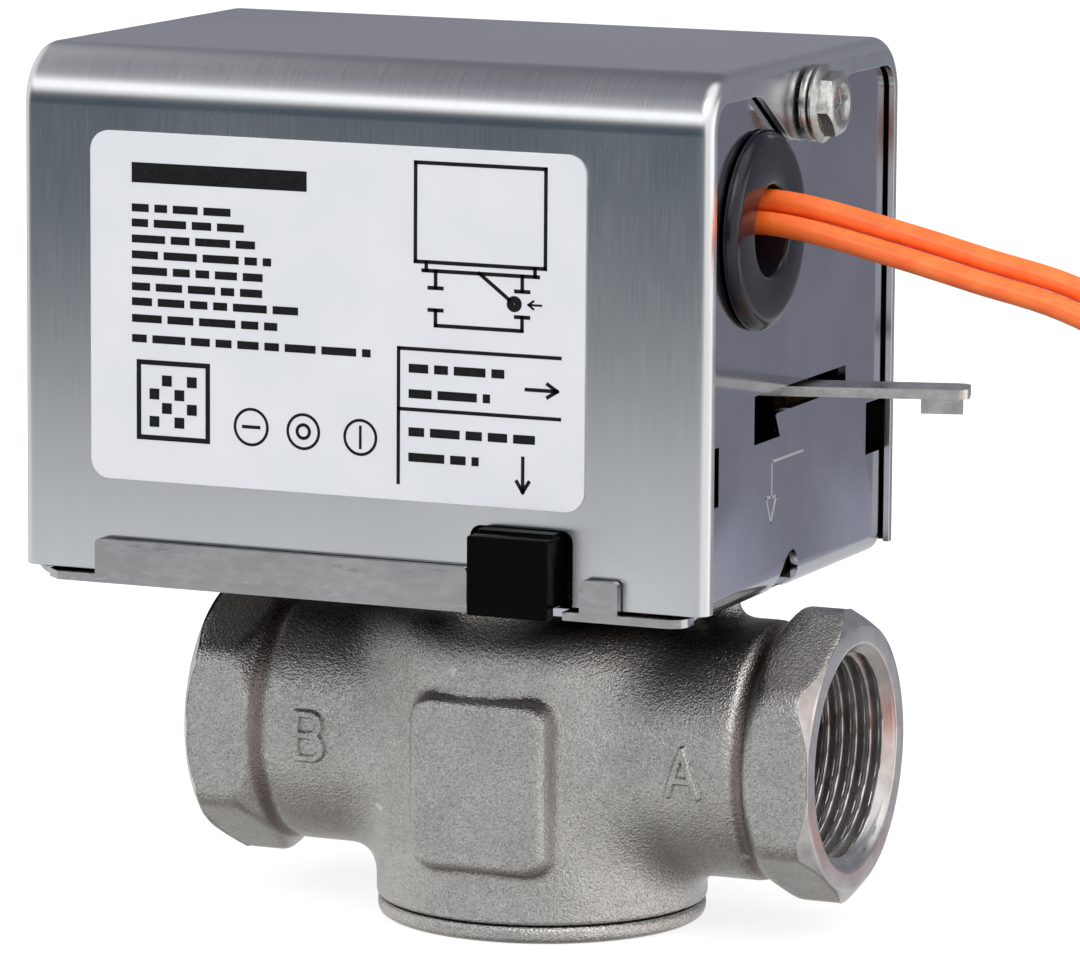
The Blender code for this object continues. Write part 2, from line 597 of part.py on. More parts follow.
tube("button_spring", helix((10.5, 0, 47.3), "y", 1.9, -6.0, 6.0, 5, 10), 0.25, SPRING, 0)

# ------------------------------------------------------ drive hub and sector
hub = lathe("drive_hub", [(0, 60.2), (2.75, 60.2), (2.75, 47.8), (6.0, 47.8), (6.0, 63.6),
                          (3.5, 63.6), (3.5, 65.4), (2.0, 65.4), (2.0, 72.4), (0, 72.4)],
            22, c_stem)
join(hub, box("t", -2.3, 2.3, STEM_Y + 2.2, STEM_Y + 4.0, 51.0, 60.6))
finish(hub, GLASSN)
set_origin(hub, 0, STEM_Y, 0)


def involute_flank(n_teeth, mod, addendum, dedendum, thin, steps=3):
    """Half-angle of the tooth at each radius from root to tip."""
    rp = mod * n_teeth / 2.0
    pa = math.radians(20.0)
    rb = rp * math.cos(pa)
    half = math.pi / (2.0 * n_teeth) - thin / (2.0 * rp)
    inv_p = math.tan(pa) - pa
    out = []
    r0, r1 = rp - dedendum, rp + addendum
    for k in range(steps + 1):
        r = r0 + (r1 - r0) * k / steps
        if r <= rb:
            a = 0.0
        else:
            a = math.acos(rb / r)
        out.append((r, half + inv_p - (math.tan(a) - a)))
    return out


def gear_outline(cx, cy, n_teeth, mod, addendum, dedendum, thin, first, count, mid_dir):
    """Points of `count` teeth; tooth 0 is centred on angle mid_dir."""
    fl = involute_flank(n_teeth, mod, addendum, dedendum, thin)
    pts = []
    for i in range(first, first + count):
        c = mid_dir + 2 * math.pi * i / n_teeth
        for r, h in fl:
            pts.append((cx + r * math.cos(c - h), cy + r * math.sin(c - h)))
        for r, h in reversed(fl):
            pts.append((cx + r * math.cos(c + h), cy + r * math.sin(c + h)))
    return pts


# sector: a space of the sector faces a tooth of the pinion at rest
pitch_s = 2 * math.pi / N_SECTOR
teeth = gear_outline(0, STEM_Y, N_SECTOR, MODULE, 0.8, 1.2, 0.16, -1, 6,
                     MESH_ANG + pitch_s / 2.0)
a_lo = MESH_ANG + pitch_s / 2.0 - 1.6 * pitch_s
a_hi = MESH_ANG + pitch_s / 2.0 + 4.6 * pitch_s
R_IN = 22.8
sect = ([(R_IN * math.cos(a_lo), STEM_Y + R_IN * math.sin(a_lo))] + teeth
        + [(R_IN * math.cos(a_hi), STEM_Y + R_IN * math.sin(a_hi)),
           (19.0 * math.cos(a_hi), STEM_Y + 19.0 * math.sin(a_hi)),
           (9.0 * math.cos(a_hi + 0.25), STEM_Y + 9.0 * math.sin(a_hi + 0.25))]
        + [(8.6 * math.cos(t), STEM_Y + 8.6 * math.sin(t))
           for t in [a_hi + 0.5 + (2 * math.pi + a_lo - a_hi - 1.0) * k / 14 for k in range(15)]]
        + [(9.0 * math.cos(a_lo - 0.25), STEM_Y + 9.0 * math.sin(a_lo - 0.25)),
           (19.0 * math.cos(a_lo), STEM_Y + 19.0 * math.sin(a_lo))])
sector = prism("sector_gear", sect, "z", 63.9, 65.1)
# arm of the sector that carries the lever
ca, sa = math.cos(LEVER_ANG), math.sin(LEVER_ANG)


def along(s, t):
    """Point at distance s along and t across the lever's centre line."""
    return (LEVER_PT[0] + s * ca - t * sa, LEVER_PT[1] + s * sa + t * ca)


s_tip = (LEVER_TIP_X - LEVER_PT[0]) / ca
join(sector, prism("t", [along(-31.5, -4.0), along(-9.0, -4.0), along(-8.0, -3.0),
                         along(-8.0, 3.0), along(-9.0, 4.0), along(-31.5, 4.0)], "z", 63.9, 65.1))
join(sector, prism("t", [(-6.0, STEM_Y + 4.0), (6.5, STEM_Y - 5.0), (12.5, -7.5),
                         (8.0, 0.5), (-2.0, 0.0)], "z", 63.9, 65.1))
cut(sector, rod("t", 3.75, 63, 66, c_stem, seg=28))
for s in (-24.0, -13.0):
    q = along(s, 0)
    cut(sector, rod("t", 1.3, 63, 66, (q[0], q[1], 0), seg=14))
finish(sector, ZINC)
set_origin(sector, 0, STEM_Y, 0)

half = LEVER_W / 2.0
lever = prism("manual_lever", [along(-27.0, -half), along(s_tip - 1.6, -half),
                               along(s_tip - 0.5, -half + 0.5), along(s_tip, -half + 1.6),
                               along(s_tip, half - 1.6), along(s_tip - 0.5, half - 0.5),
                               along(s_tip - 1.6, half), along(-27.0, half)],
              "z", LEVER_Z0, LEVER_Z0 + LEVER_T)
tab = prism("t", [along(s_tip - 6.4, -half), along(s_tip - 1.7, -half),
                  along(s_tip - 1.7, -half + 1.1), along(s_tip - 6.4, -half + 1.1)],
            "z", LEVER_Z0 - 2.1, LEVER_Z0 + 0.4)
join(lever, tab)
for s in (-24.0, -13.0):
    q = along(s, 0)
    cut(lever, rod("t", 1.3, 64, 68, (q[0], q[1], 0), seg=14))
finish(lever, ZINC)
set_origin(lever, 0, STEM_Y, 0)
for k, s in enumerate((-24.0, -13.0)):
    q = along(s, 0)
    rv = lathe("lever_rivet_%d" % (k + 1),
               [(0, 62.8), (2.0, 62.8), (2.2, 63.1), (2.2, 63.6), (1.05, 63.6), (1.05, 66.9),
                (2.1, 66.9), (2.1, 67.2), (1.5, 67.8), (0, 67.8)], 12, (q[0], q[1], 0), mat=ZINC)
    set_origin(rv, 0, STEM_Y, 0)

# return spring: a torsion spring round the hub, legs at both ends
spts = helix((0, STEM_Y, 0), "z", 7.6, 51.6, 60.2, 4, 14)
spts = [(spts[0][0], spts[0][1] - 7.5, spts[0][2]), (spts[0][0], spts[0][1] - 3.0, spts[0][2])] + spts
spts += [(spts[-1][0], spts[-1][1] + 3.0, spts[-1][2]), (spts[-1][0], spts[-1][1] + 7.0, spts[-1][2])]
tube("return_spring", spts, 0.5, SPRING, 1)

# ------------------------------------------------------- motor and its frame
MX, MY = -22.0, 3.0
ears = ((MX - 26.6, MY), (MX + 26.6, MY))
stand = ((-49.0, -22.0), (24.5, -22.5), (-49.0, 21.5), (24.5, 20.0))
mp = prism("motor_plate", [(-51.8, -25.0), (-50.4, -26.4), (26.6, -26.4), (28.0, -25.0),
                           (28.0, 23.2), (26.6, 24.6), (-50.4, 24.6), (-51.8, 23.2)],
           "z", 70.6, 71.6)
cut(mp, rod("t", 2.3, 69, 73, c_stem), rod("t", 4.2, 69, 73, (PIN_X, PIN_Y, 0)))
for q in ears:
    cut(mp, rod("t", 1.5, 69, 73, (q[0], q[1], 0), seg=16))
finish(mp, PLATE)
for k, q in enumerate(stand):
    lathe("standoff_%d" % (k + 1), [(0, zi + GAP), (2.6, zi + GAP), (2.6, 70.3), (0, 70.3)], 6,
          (q[0], q[1], 0), mat=BRASS)
case = rod("motor_gearcase", 24.0, 71.9, 79.0, (MX, MY, 0), seg=36)
for q in ears:
    join(case, rod("t", 4.0, 71.9, 73.5, (q[0], q[1], 0), seg=16))
    join(case, box("t", min(q[0], MX), max(q[0], MX), MY - 4.0, MY + 4.0, 71.9, 73.5))
for q in ears:
    cut(case, rod("t", 1.5, 70, 75, (q[0], q[1], 0), seg=12))
cut(case, rod("t", 1.8, 70, 74.5, (PIN_X, PIN_Y, 0), seg=16))
finish(case, ZINC)
lathe("motor_can", [(0, 79.3), (22.6, 79.3), (22.6, 95.6), (21.8, 96.9), (20.6, 97.4),
                    (6.0, 97.4), (6.0, 98.4), (0, 98.4)], 36, (MX, MY, 0), mat=SHEETM)
for k, q in enumerate(ears):
    lathe("motor_screw_%d" % (k + 1),
          [(0, 69.4), (1.2, 69.4), (1.2, 73.8), (2.5, 73.8), (2.5, 74.6), (1.8, 75.3), (0, 75.3)],
          14, (q[0], q[1], 0), mat=ZINC)

# pinion: its tooth points at the sector's axis at rest
pin_dir = MESH_ANG + math.pi
pts = gear_outline(PIN_X, PIN_Y, N_PINION, MODULE, 0.8, 1.15, 0.16, 0, N_PINION, pin_dir)
pinion = prism("motor_pinion", pts, "z", 62.9, 66.1)
join(pinion, rod("t", 1.5, 62.0, 74.0, (PIN_X, PIN_Y, 0), seg=16))
join(pinion, rod("t", 3.4, 66.0, 69.6, (PIN_X, PIN_Y, 0), seg=20))
finish(pinion, BRASS)
set_origin(pinion, PIN_X, PIN_Y, 0)

# --------------------------------------------------------------------- leads
def catmull(ctrl, per):
    """Smooth curve through the control points."""
    out = []
    p = [Vector(c) for c in ctrl]
    p = [p[0] * 2 - p[1]] + p + [p[-1] * 2 - p[-2]]
    for i in range(1, len(p) - 2):
        for k in range(per):
            t = k / per
            a, b, c, d = p[i - 1], p[i], p[i + 1], p[i + 2]
            out.append(0.5 * ((2 * b) + (c - a) * t + (2 * a - 5 * b + 4 * c - d) * t * t
                              + (3 * b - a - 3 * c + d) * t * t * t))
    out.append(p[-2].copy())
    return out


def resample(pts, step):
    out = [pts[0].copy()]
    need = step
    for a, b in zip(pts, pts[1:]):
        seg = (b - a).length
        pos = 0.0
        while seg - pos >= need:
            pos += need
            out.append(a + (b - a) * (pos / seg))
            need = step
        need -= seg - pos
    if (out[-1] - pts[-1]).length > step * 0.3:
        out.append(pts[-1].copy())
    else:
        out[-1] = pts[-1].copy()
    return out


TOP_Z = COIL_Z0 + COIL_PITCH * COIL_TURNS + 0.9
in_p = Vector((COIL_C[0] + COIL_R * math.cos(COIL_IN), COIL_C[1] + COIL_R * math.sin(COIL_IN), TOP_Z))
in_d = Vector((-math.sin(COIL_IN), math.cos(COIL_IN), 0.0))
centre_ctrl = [(22.0, -12.6, 88.6), (28.0, -12.6, 88.85), (34.0, -12.6, 88.9), (38.2, -12.65, 88.45),
               (43.0, -12.8, 87.55), (49.0, -13.0, 86.25), (55.3, -13.2, 84.8), (61.5, -13.4, 83.3),
               (70.2, -13.7, 81.3), (79.0, -14.0, 77.6), (87.0, -14.1, 71.0), (93.5, -13.9, 62.2),
               (98.0, -13.2, 52.0), (100.7, -11.8, 41.6), (101.6, -8.8, 31.6), (101.6, -3.6, 22.6),
               tuple(in_p - in_d * 6.5 + Vector((0, 0, 3.6))),
               tuple(in_p - in_d * 1.0 + Vector((0, 0, 0.35))), tuple(in_p + in_d * 4.0)]
centre = resample(catmull(centre_ctrl, 12), 1.0)


def pair_offset(i, pts, side):
    """One lead of the pair: above and behind at the grommet, outside at the coil."""
    t = (pts[min(i + 1, len(pts) - 1)] - pts[max(i - 1, 0)]).normalized()
    f = i / (len(pts) - 1)
    g = max(0.0, min(1.0, (f - 0.50) / 0.45))
    g = g * g * (3 - 2 * g)
    w = Vector((0.0, 0.62, 0.78)) * (1 - g) + in_radial * g
    n = (w - t * w.dot(t)).normalized()
    return pts[i] + n * (side * PAIR / 2.0)


in_radial = Vector((math.cos(COIL_IN), math.sin(COIL_IN), 0.0))
run_a = resample([pair_offset(i, centre, 1.0) for i in range(len(centre))], 4.0)
run_b = resample([pair_offset(i, centre, -1.0) for i in range(len(centre))], 4.0)
tube("lead_a", run_a, LEAD_R, ORANGE, 2)
tube("lead_b", run_b, LEAD_R, ORANGE, 2)
ring_lo, ring_hi = 0.8, TOP_Z - LEAD_R - GAP
ri_, ro_ = COIL_R - PAIR / 2 - LEAD_R - 0.15, COIL_R + PAIR / 2 + LEAD_R + 0.15
lathe("lead_coil", [(ri_, ring_lo + 0.8), (ri_ + 0.8, ring_lo), (ro_ - 0.8, ring_lo),
                    (ro_, ring_lo + 0.8), (ro_, ring_hi - 0.8), (ro_ - 0.8, ring_hi),
                    (ri_ + 0.8, ring_hi), (ri_, ring_hi - 0.8)], 32,
      (COIL_C[0], COIL_C[1], 0), mat=ORANGE, closed=True)
# cable tie round the coil on its far side
ta = math.radians(215.0)
tie = prism("coil_tie", rounded_rect(ri_ - 0.75, ro_ + 0.75, 0.03, ring_hi + 0.75, 0.6, 2), "y", -1.2, 1.2)
cut(tie, prism("t", rounded_rect(ri_ - 0.3, ro_ + 0.3, 0.5, ring_hi + 0.3, 0.4, 2), "y", -2, 2))
join(tie, box("t", ri_ - 3.0, ri_ - 0.5, -1.9, 1.9, ring_hi - 4.6, ring_hi - 0.6))
tie.data.transform(Matrix.Translation(Vector((COIL_C[0], COIL_C[1], 0)) * MM)
                   @ Matrix.Rotation(ta, 4, 'Z'))
finish(tie, BLACKP)

out_d = Vector((-math.sin(COIL_OUT), math.cos(COIL_OUT), 0.0))
out_r = Vector((math.cos(COIL_OUT), math.sin(COIL_OUT), 0.0))
for nm, side, tail in (("a", 1.0, TAIL_A), ("b", -1.0, TAIL_B)):
    rr = COIL_R + side * PAIR / 2.0
    base = Vector((COIL_C[0], COIL_C[1], 0.0)) + out_r * rr
    s0 = math.sqrt((ro_ + GAP) ** 2 - (rr - LEAD_R) ** 2) + 0.2
    s1 = s0 + tail - 7.3
    n = max(5, int((s1 - s0) / 5.0))
    pts = []
    for k in range(n + 1):
        f = k / n
        sway = out_r * (0.9 * side * f * f + (0.6 if side < 0 else 0.0) * math.sin(math.pi * f))
        pts.append(base + out_d * (s0 + (s1 - s0) * f) + sway
                   + Vector((0, 0, COIL_Z0 - 0.45 * min(1.0, 2.5 * f))))
    tube("lead_%s_tail" % nm, pts, LEAD_R, ORANGE, 2)
    d = (pts[-1] - pts[-2]).normalized()
    e0 = pts[-1] + d * GAP
    tube("lead_%s_end" % nm, [e0, e0 + d * 3.5 + Vector((0, 0, -0.1)),
                              e0 + d * 7.0 + Vector((0, 0, -0.35))], 0.62, TINNED, 1)

# closed-end splices behind the grommet and the motor's own thin leads
for nm, z, y in (("a", 90.4, -12.6), ("b", 86.9, -12.6)):
    zc = z + (1.6 if nm == "a" else -1.6)
    lathe("splice_%s" % nm, [(0, 12.5), (1.6, 12.5), (2.3, 13.4), (2.3, 21.4), (0, 21.4)], 18,
          (0, y, zc), "x", mat=WHITEP)
for nm, z, y0 in (("a", 92.0, -12.6), ("b", 85.3, -12.6)):
    pts = catmull([(12.0, y0, z), (9.5, y0 + 0.4, z - 0.3), (6.5, y0 + 2.0, z - 1.2),
                   (3.6, y0 + 5.0, z - 2.0)], 3)
    tube("motor_lead_%s" % nm, pts, 0.75, WHITEP, 1)
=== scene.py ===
import math
import bpy
import bmesh
import numpy as np
from mathutils import Vector, Matrix


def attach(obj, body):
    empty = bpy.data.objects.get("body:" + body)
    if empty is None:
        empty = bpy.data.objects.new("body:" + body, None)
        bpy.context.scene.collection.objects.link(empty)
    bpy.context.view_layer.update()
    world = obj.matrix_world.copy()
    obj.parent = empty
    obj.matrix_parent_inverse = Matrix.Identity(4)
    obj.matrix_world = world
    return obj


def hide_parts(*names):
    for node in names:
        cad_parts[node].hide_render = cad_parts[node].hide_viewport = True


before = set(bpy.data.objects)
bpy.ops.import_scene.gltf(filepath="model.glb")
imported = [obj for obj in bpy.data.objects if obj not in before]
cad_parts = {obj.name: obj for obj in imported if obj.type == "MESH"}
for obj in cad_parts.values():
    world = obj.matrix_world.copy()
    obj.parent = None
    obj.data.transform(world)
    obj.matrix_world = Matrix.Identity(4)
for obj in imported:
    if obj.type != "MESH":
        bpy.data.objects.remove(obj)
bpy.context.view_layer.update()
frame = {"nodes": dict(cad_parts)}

SCENE = bpy.context.scene
MM = 0.001

# --------------------------------------------------------------------- camera
CAM_POS = Vector((0.32993, -0.76498, 0.18382))
CAM_AIM = Vector((0.0, 0.0, 0.055))
CAM_F_PX, CAM_CX, CAM_CY, CAM_ROLL = 6967.0, 545.0, 465.0, 0.38
IMG_W, IMG_H = 1080.0, 959.0
cam_data = bpy.data.cameras.new("camera")
cam = bpy.data.objects.new("camera", cam_data)
SCENE.collection.objects.link(cam)
fwd = (CAM_AIM - CAM_POS).normalized()
right = fwd.cross(Vector((0, 0, 1))).normalized()
up = right.cross(fwd).normalized()
cr, sr = math.cos(math.radians(CAM_ROLL)), math.sin(math.radians(CAM_ROLL))
r_ax = right * cr + up * sr
u_ax = up * cr - right * sr
rot = Matrix((r_ax, u_ax, -fwd)).transposed()
cam.matrix_world = Matrix.Translation(CAM_POS) @ rot.to_4x4()
cam_data.sensor_width = 36.0
cam_data.lens = CAM_F_PX / IMG_W * 36.0
cam_data.shift_x = -(CAM_CX - IMG_W / 2) / IMG_W
cam_data.shift_y = (CAM_CY - IMG_H / 2) / IMG_W
cam_data.clip_start, cam_data.clip_end = 0.01, 50.0
SCENE.camera = cam

# ------------------------------------------------------------------ materials
MATS = {}


class Shader:
    """A Principled material with short names for its nodes."""

    def __init__(self, name, rgb, metallic=0.0, rough=0.5):
        self.m = bpy.data.materials.new(name)
        self.m.use_nodes = True
        self.nt = self.m.node_tree
        self.b = self.nt.nodes.get("Principled BSDF")
        self.b.inputs["Base Color"].default_value = (*rgb, 1.0)
        self.b.inputs["Metallic"].default_value = metallic
        self.b.inputs["Roughness"].default_value = rough
        self.m.diffuse_color = (*rgb, 1.0)
        MATS[name] = self.m

    def node(self, kind, **kw):
        n = self.nt.nodes.new(kind)
        for k, v in kw.items():
            setattr(n, k, v)
        return n

    def set(self, n, key, value):
        s = n.inputs[key]
        if isinstance(value, bpy.types.NodeSocket):
            self.nt.links.new(value, s)
        else:
            s.default_value = value

    def coord(self, scale=(1000.0, 1000.0, 1000.0)):
        """Object coordinates in millimetres, times a scale."""
        t = self.node("ShaderNodeTexCoord")
        m = self.node("ShaderNodeMapping")
        self.set(m, "Vector", t.outputs["Object"])
        m.inputs["Scale"].default_value = scale
        return m.outputs["Vector"]

    def xyz(self, vec=None):
        s = self.node("ShaderNodeSeparateXYZ")
        self.set(s, 0, vec or self.coord())
        return s.outputs

    def vec(self, x, y, z):
        c = self.node("ShaderNodeCombineXYZ")
        for i, v in enumerate((x, y, z)):
            self.set(c, i, v)
        return c.outputs[0]

    def math(self, op, a, b=0.0, clamp=False):
        n = self.node("ShaderNodeMath", operation=op)
        n.use_clamp = clamp
        self.set(n, 0, a)
        if op not in ("ABSOLUTE", "SQRT", "SINE", "COSINE", "FRACT", "FLOOR"):
            self.set(n, 1, b)
        return n.outputs[0]

    def noise(self, vec, scale=1.0, detail=2.0, rough=0.5, kind="FBM"):
        n = self.node("ShaderNodeTexNoise")
        self.set(n, "Vector", vec)
        n.inputs["Scale"].default_value = scale
        n.inputs["Detail"].default_value = detail
        n.inputs["Roughness"].default_value = rough
        return n.outputs["Fac"]

    def voronoi(self, vec, scale=1.0, feature="F1", rand=1.0):
        n = self.node("ShaderNodeTexVoronoi", feature=feature)
        self.set(n, "Vector", vec)
        n.inputs["Scale"].default_value = scale
        n.inputs["Randomness"].default_value = rand
        if feature == "SMOOTH_F1":
            n.inputs["Smoothness"].default_value = 0.6
        return n.outputs["Distance"]

    def ramp(self, fac, lo, hi, out_lo=0.0, out_hi=1.0, smooth=True):
        n = self.node("ShaderNodeMapRange")
        n.interpolation_type = "SMOOTHSTEP" if smooth else "LINEAR"
        self.set(n, 0, fac)
        for i, v in enumerate((lo, hi, out_lo, out_hi)):
            n.inputs[i + 1].default_value = v
        return n.outputs[0]

    def mix(self, fac, a, b):
        n = self.node("ShaderNodeMix", data_type="RGBA")
        self.set(n, "Factor", fac)
        for key, v in (("A", a), ("B", b)):
            sock = [s for s in n.inputs if s.name == key and s.type == "RGBA"][0]
            if isinstance(v, bpy.types.NodeSocket):
                self.nt.links.new(v, sock)
            else:
                sock.default_value = (*v, 1.0)
        return [s for s in n.outputs if s.type == "RGBA"][0]

    def color(self, sock):
        self.nt.links.new(sock, self.b.inputs["Base Color"])

    def rough(self, sock):
        self.nt.links.new(sock, self.b.inputs["Roughness"])

    def bump(self, height, dist_mm=0.05, strength=1.0, prev=None):
        n = self.node("ShaderNodeBump")
        n.inputs["Strength"].default_value = strength
        n.inputs["Distance"].default_value = dist_mm * MM
        self.set(n, "Height", height)
        if prev is not None:
            self.set(n, "Normal", prev)
        return n.outputs["Normal"]

    def normal(self, sock):
        self.nt.links.new(sock, self.b.inputs["Normal"])

    def aniso(self, amount, rotation=0.0):
        t = self.node("ShaderNodeTangent", direction_type="RADIAL", axis="X")
        self.b.inputs["Anisotropic"].default_value = amount
        self.b.inputs["Anisotropic Rotation"].default_value = rotation
        self.nt.links.new(t.outputs[0], self.b.inputs["Tangent"])


def mat_cast():
    """Investment-cast steel, bead blasted: a fine pebbled skin, browner in
    the hollows from painted shade and grime, and worn brighter on the edges."""
    s = Shader("cast_blasted", (0.50, 0.49, 0.47), 1.0, 0.38)
    c = s.coord()
    warp = s.noise(c, 1.5, 2.0, 0.5)
    pebble = s.noise(c, 2.7, 2.0, 0.55)
    pebble2 = s.voronoi(c, 4.4, "SMOOTH_F1")
    fine = s.noise(c, 8.5, 2.0, 0.6)
    wide = s.noise(c, 0.16, 3.0, 0.55)
    blotch = s.noise(c, 0.5, 3.0, 0.55)
    x, y, z = s.xyz()[:3]
    col = s.mix(s.ramp(wide, 0.35, 0.65), (0.535, 0.525, 0.503), (0.595, 0.584, 0.562))
    col = s.mix(s.ramp(blotch, 0.42, 0.72, 0.0, 0.35), col, (0.45, 0.425, 0.40))
    speck = s.noise(c, 3.6, 3.0, 0.6)
    col = s.mix(s.ramp(speck, 0.50, 0.34, 0.0, 0.75), col, (0.33, 0.32, 0.305))
    col = s.mix(s.ramp(speck, 0.56, 0.70, 0.0, 0.7), col, (0.72, 0.71, 0.69))
    # painted shade: a dark brown line in the groove behind each hexagon
    ax = s.math("ABSOLUTE", x)
    r2 = s.math("SQRT", s.math("ADD", s.math("MULTIPLY", y, y),
                               s.math("MULTIPLY", s.math("SUBTRACT", z, 22.4), s.math("SUBTRACT", z, 22.4))))
    near = s.ramp(s.math("ABSOLUTE", s.math("SUBTRACT", ax, 31.6)), 0.5, 1.3, 1.0, 0.0)
    tint = s.math("MULTIPLY", near, s.ramp(r2, 15.6, 16.3, 0.85, 0.0))
    col = s.mix(tint, col, (0.24, 0.185, 0.17))
    geo = s.node("ShaderNodeNewGeometry")
    # painted shade and grime: concave places darkened brown
    hollow_shade_and_grime = s.ramp(geo.outputs["Pointiness"], 0.44, 0.50, 0.8, 0.0)
    col = s.mix(hollow_shade_and_grime, col, (0.22, 0.185, 0.165))
    edge = s.ramp(geo.outputs["Pointiness"], 0.53, 0.59, 0.0, 0.75)
    col = s.mix(edge, col, (0.80, 0.79, 0.76))
    nrm = s.node("ShaderNodeSeparateXYZ")
    s.nt.links.new(geo.outputs["Normal"], nrm.inputs[0])
    # painted shade: upward-facing casting under the housing darkened, spared round the stem boss, the posts and the
    # hexagons
    housing_shade = s.math("MULTIPLY", s.ramp(z, 34.0, 38.2, 0.0, 0.9), s.ramp(nrm.outputs[2], 0.30, 0.75))
    dy = s.math("ADD", y, 11.5)
    rb = s.math("SQRT", s.math("ADD", s.math("MULTIPLY", x, x), s.math("MULTIPLY", dy, dy)))
    dx = s.math("SUBTRACT", ax, 23.7)
    rq = s.math("SQRT", s.math("ADD", s.math("MULTIPLY", dx, dx), s.math("MULTIPLY", y, y)))
    housing_shade = s.math("MULTIPLY", housing_shade, s.math("MULTIPLY", s.ramp(rb, 6.8, 8.6), s.ramp(rq, 3.2, 5.6)))
    housing_shade = s.math("MULTIPLY", housing_shade, s.ramp(ax, 31.4, 30.8))
    col = s.mix(housing_shade, col, (0.12, 0.11, 0.105))
    s.color(col)
    s.rough(s.ramp(fine, 0.3, 0.7, 0.225, 0.36))
    n = s.bump(wide, 0.20, 0.4)
    n = s.bump(warp, 0.07, 0.5, n)
    n = s.bump(pebble, 0.115, 0.85, n)
    n = s.bump(pebble2, 0.085, 0.85, n)
    n = s.bump(fine, 0.034, 0.85, n)
    s.normal(n)
    return s.m


def mat_turned(name, rgb, cy, cz, axis="x", rough=(0.16, 0.30)):
    """Turned metal: fine rings round an axis."""
    s = Shader(name, rgb, 1.0, 0.25)
    x, y, z = s.xyz()[:3]
    if axis == "x":
        a, b, h = s.math("SUBTRACT", y, cy), s.math("SUBTRACT", z, cz), x
    else:
        a, b, h = s.math("SUBTRACT", x, cy), s.math("SUBTRACT", y, cz), z
    r = s.math("SQRT", s.math("ADD", s.math("MULTIPLY", a, a), s.math("MULTIPLY", b, b)))
    v = s.vec(s.math("MULTIPLY", r, 9.0), s.math("MULTIPLY", h, 9.0), 0.0)
    rings = s.noise(v, 1.0, 3.0, 0.7)
    c = s.coord()
    stain = s.noise(c, 0.35, 3.0, 0.6)
    col = s.mix(s.ramp(stain, 0.35, 0.7), rgb, tuple(v_ * 0.78 for v_ in rgb))
    s.color(col)
    s.rough(s.ramp(rings, 0.3, 0.7, rough[0], rough[1]))
    s.normal(s.bump(rings, 0.004, 0.5))
    return s.m


def mat_brushed():
    """Brushed sheet: fine grain up the front and across the top."""
    s = Shader("brushed_sheet", (0.66, 0.68, 0.70), 1.0, 0.22)
    grain = s.noise(s.coord((9000.0, 130.0, 130.0)), 1.0, 3.0, 0.65)
    fine = s.noise(s.coord((22000.0, 420.0, 420.0)), 1.0, 2.0, 0.6)
    band = s.noise(s.coord((420.0, 9.0, 9.0)), 1.0, 2.0, 0.5)
    rub = s.noise(s.coord((26.0, 20.0, 20.0)), 1.0, 3.0, 0.6)
    dots = s.noise(s.coord((900.0, 900.0, 900.0)), 1.0, 2.0, 0.6)
    col = s.mix(s.ramp(grain, 0.25, 0.75), (0.635, 0.655, 0.675), (0.685, 0.70, 0.715))
    col = s.mix(s.ramp(band, 0.35, 0.75, 0.0, 0.25), col, (0.61, 0.63, 0.655))
    col = s.mix(s.ramp(dots, 0.70, 0.78, 0.0, 0.35), col, (0.50, 0.52, 0.54))
    x, y, z = s.xyz()[:3]
    # painted shade: the cover's inside faces are painted near black
    inside_shade = s.math("MULTIPLY", s.ramp(x, 33.0, 32.92), s.ramp(x, -54.1, -54.02))
    oy = s.math("MAXIMUM", s.math("SUBTRACT", s.math("ABSOLUTE", y), 24.2), 0.0)
    oz = s.math("MAXIMUM", s.math("SUBTRACT", z, 99.3), 0.0)
    rad = s.math("SQRT", s.math("ADD", s.math("MULTIPLY", oy, oy), s.math("MULTIPLY", oz, oz)))
    inside_shade = s.math("MULTIPLY", inside_shade, s.ramp(rad, 6.42, 6.28))
    s.color(s.mix(inside_shade, col, (0.06, 0.06, 0.062)))
    ro = s.math("ADD", s.ramp(grain, 0.2, 0.8, 0.20, 0.26), s.ramp(rub, 0.35, 0.7, 0.0, 0.035))
    s.rough(ro)
    n = s.bump(grain, 0.0036, 0.5)
    n = s.bump(fine, 0.0012, 0.5, n)
    s.normal(n)
    s.aniso(0.8, 0.25)
    return s.m


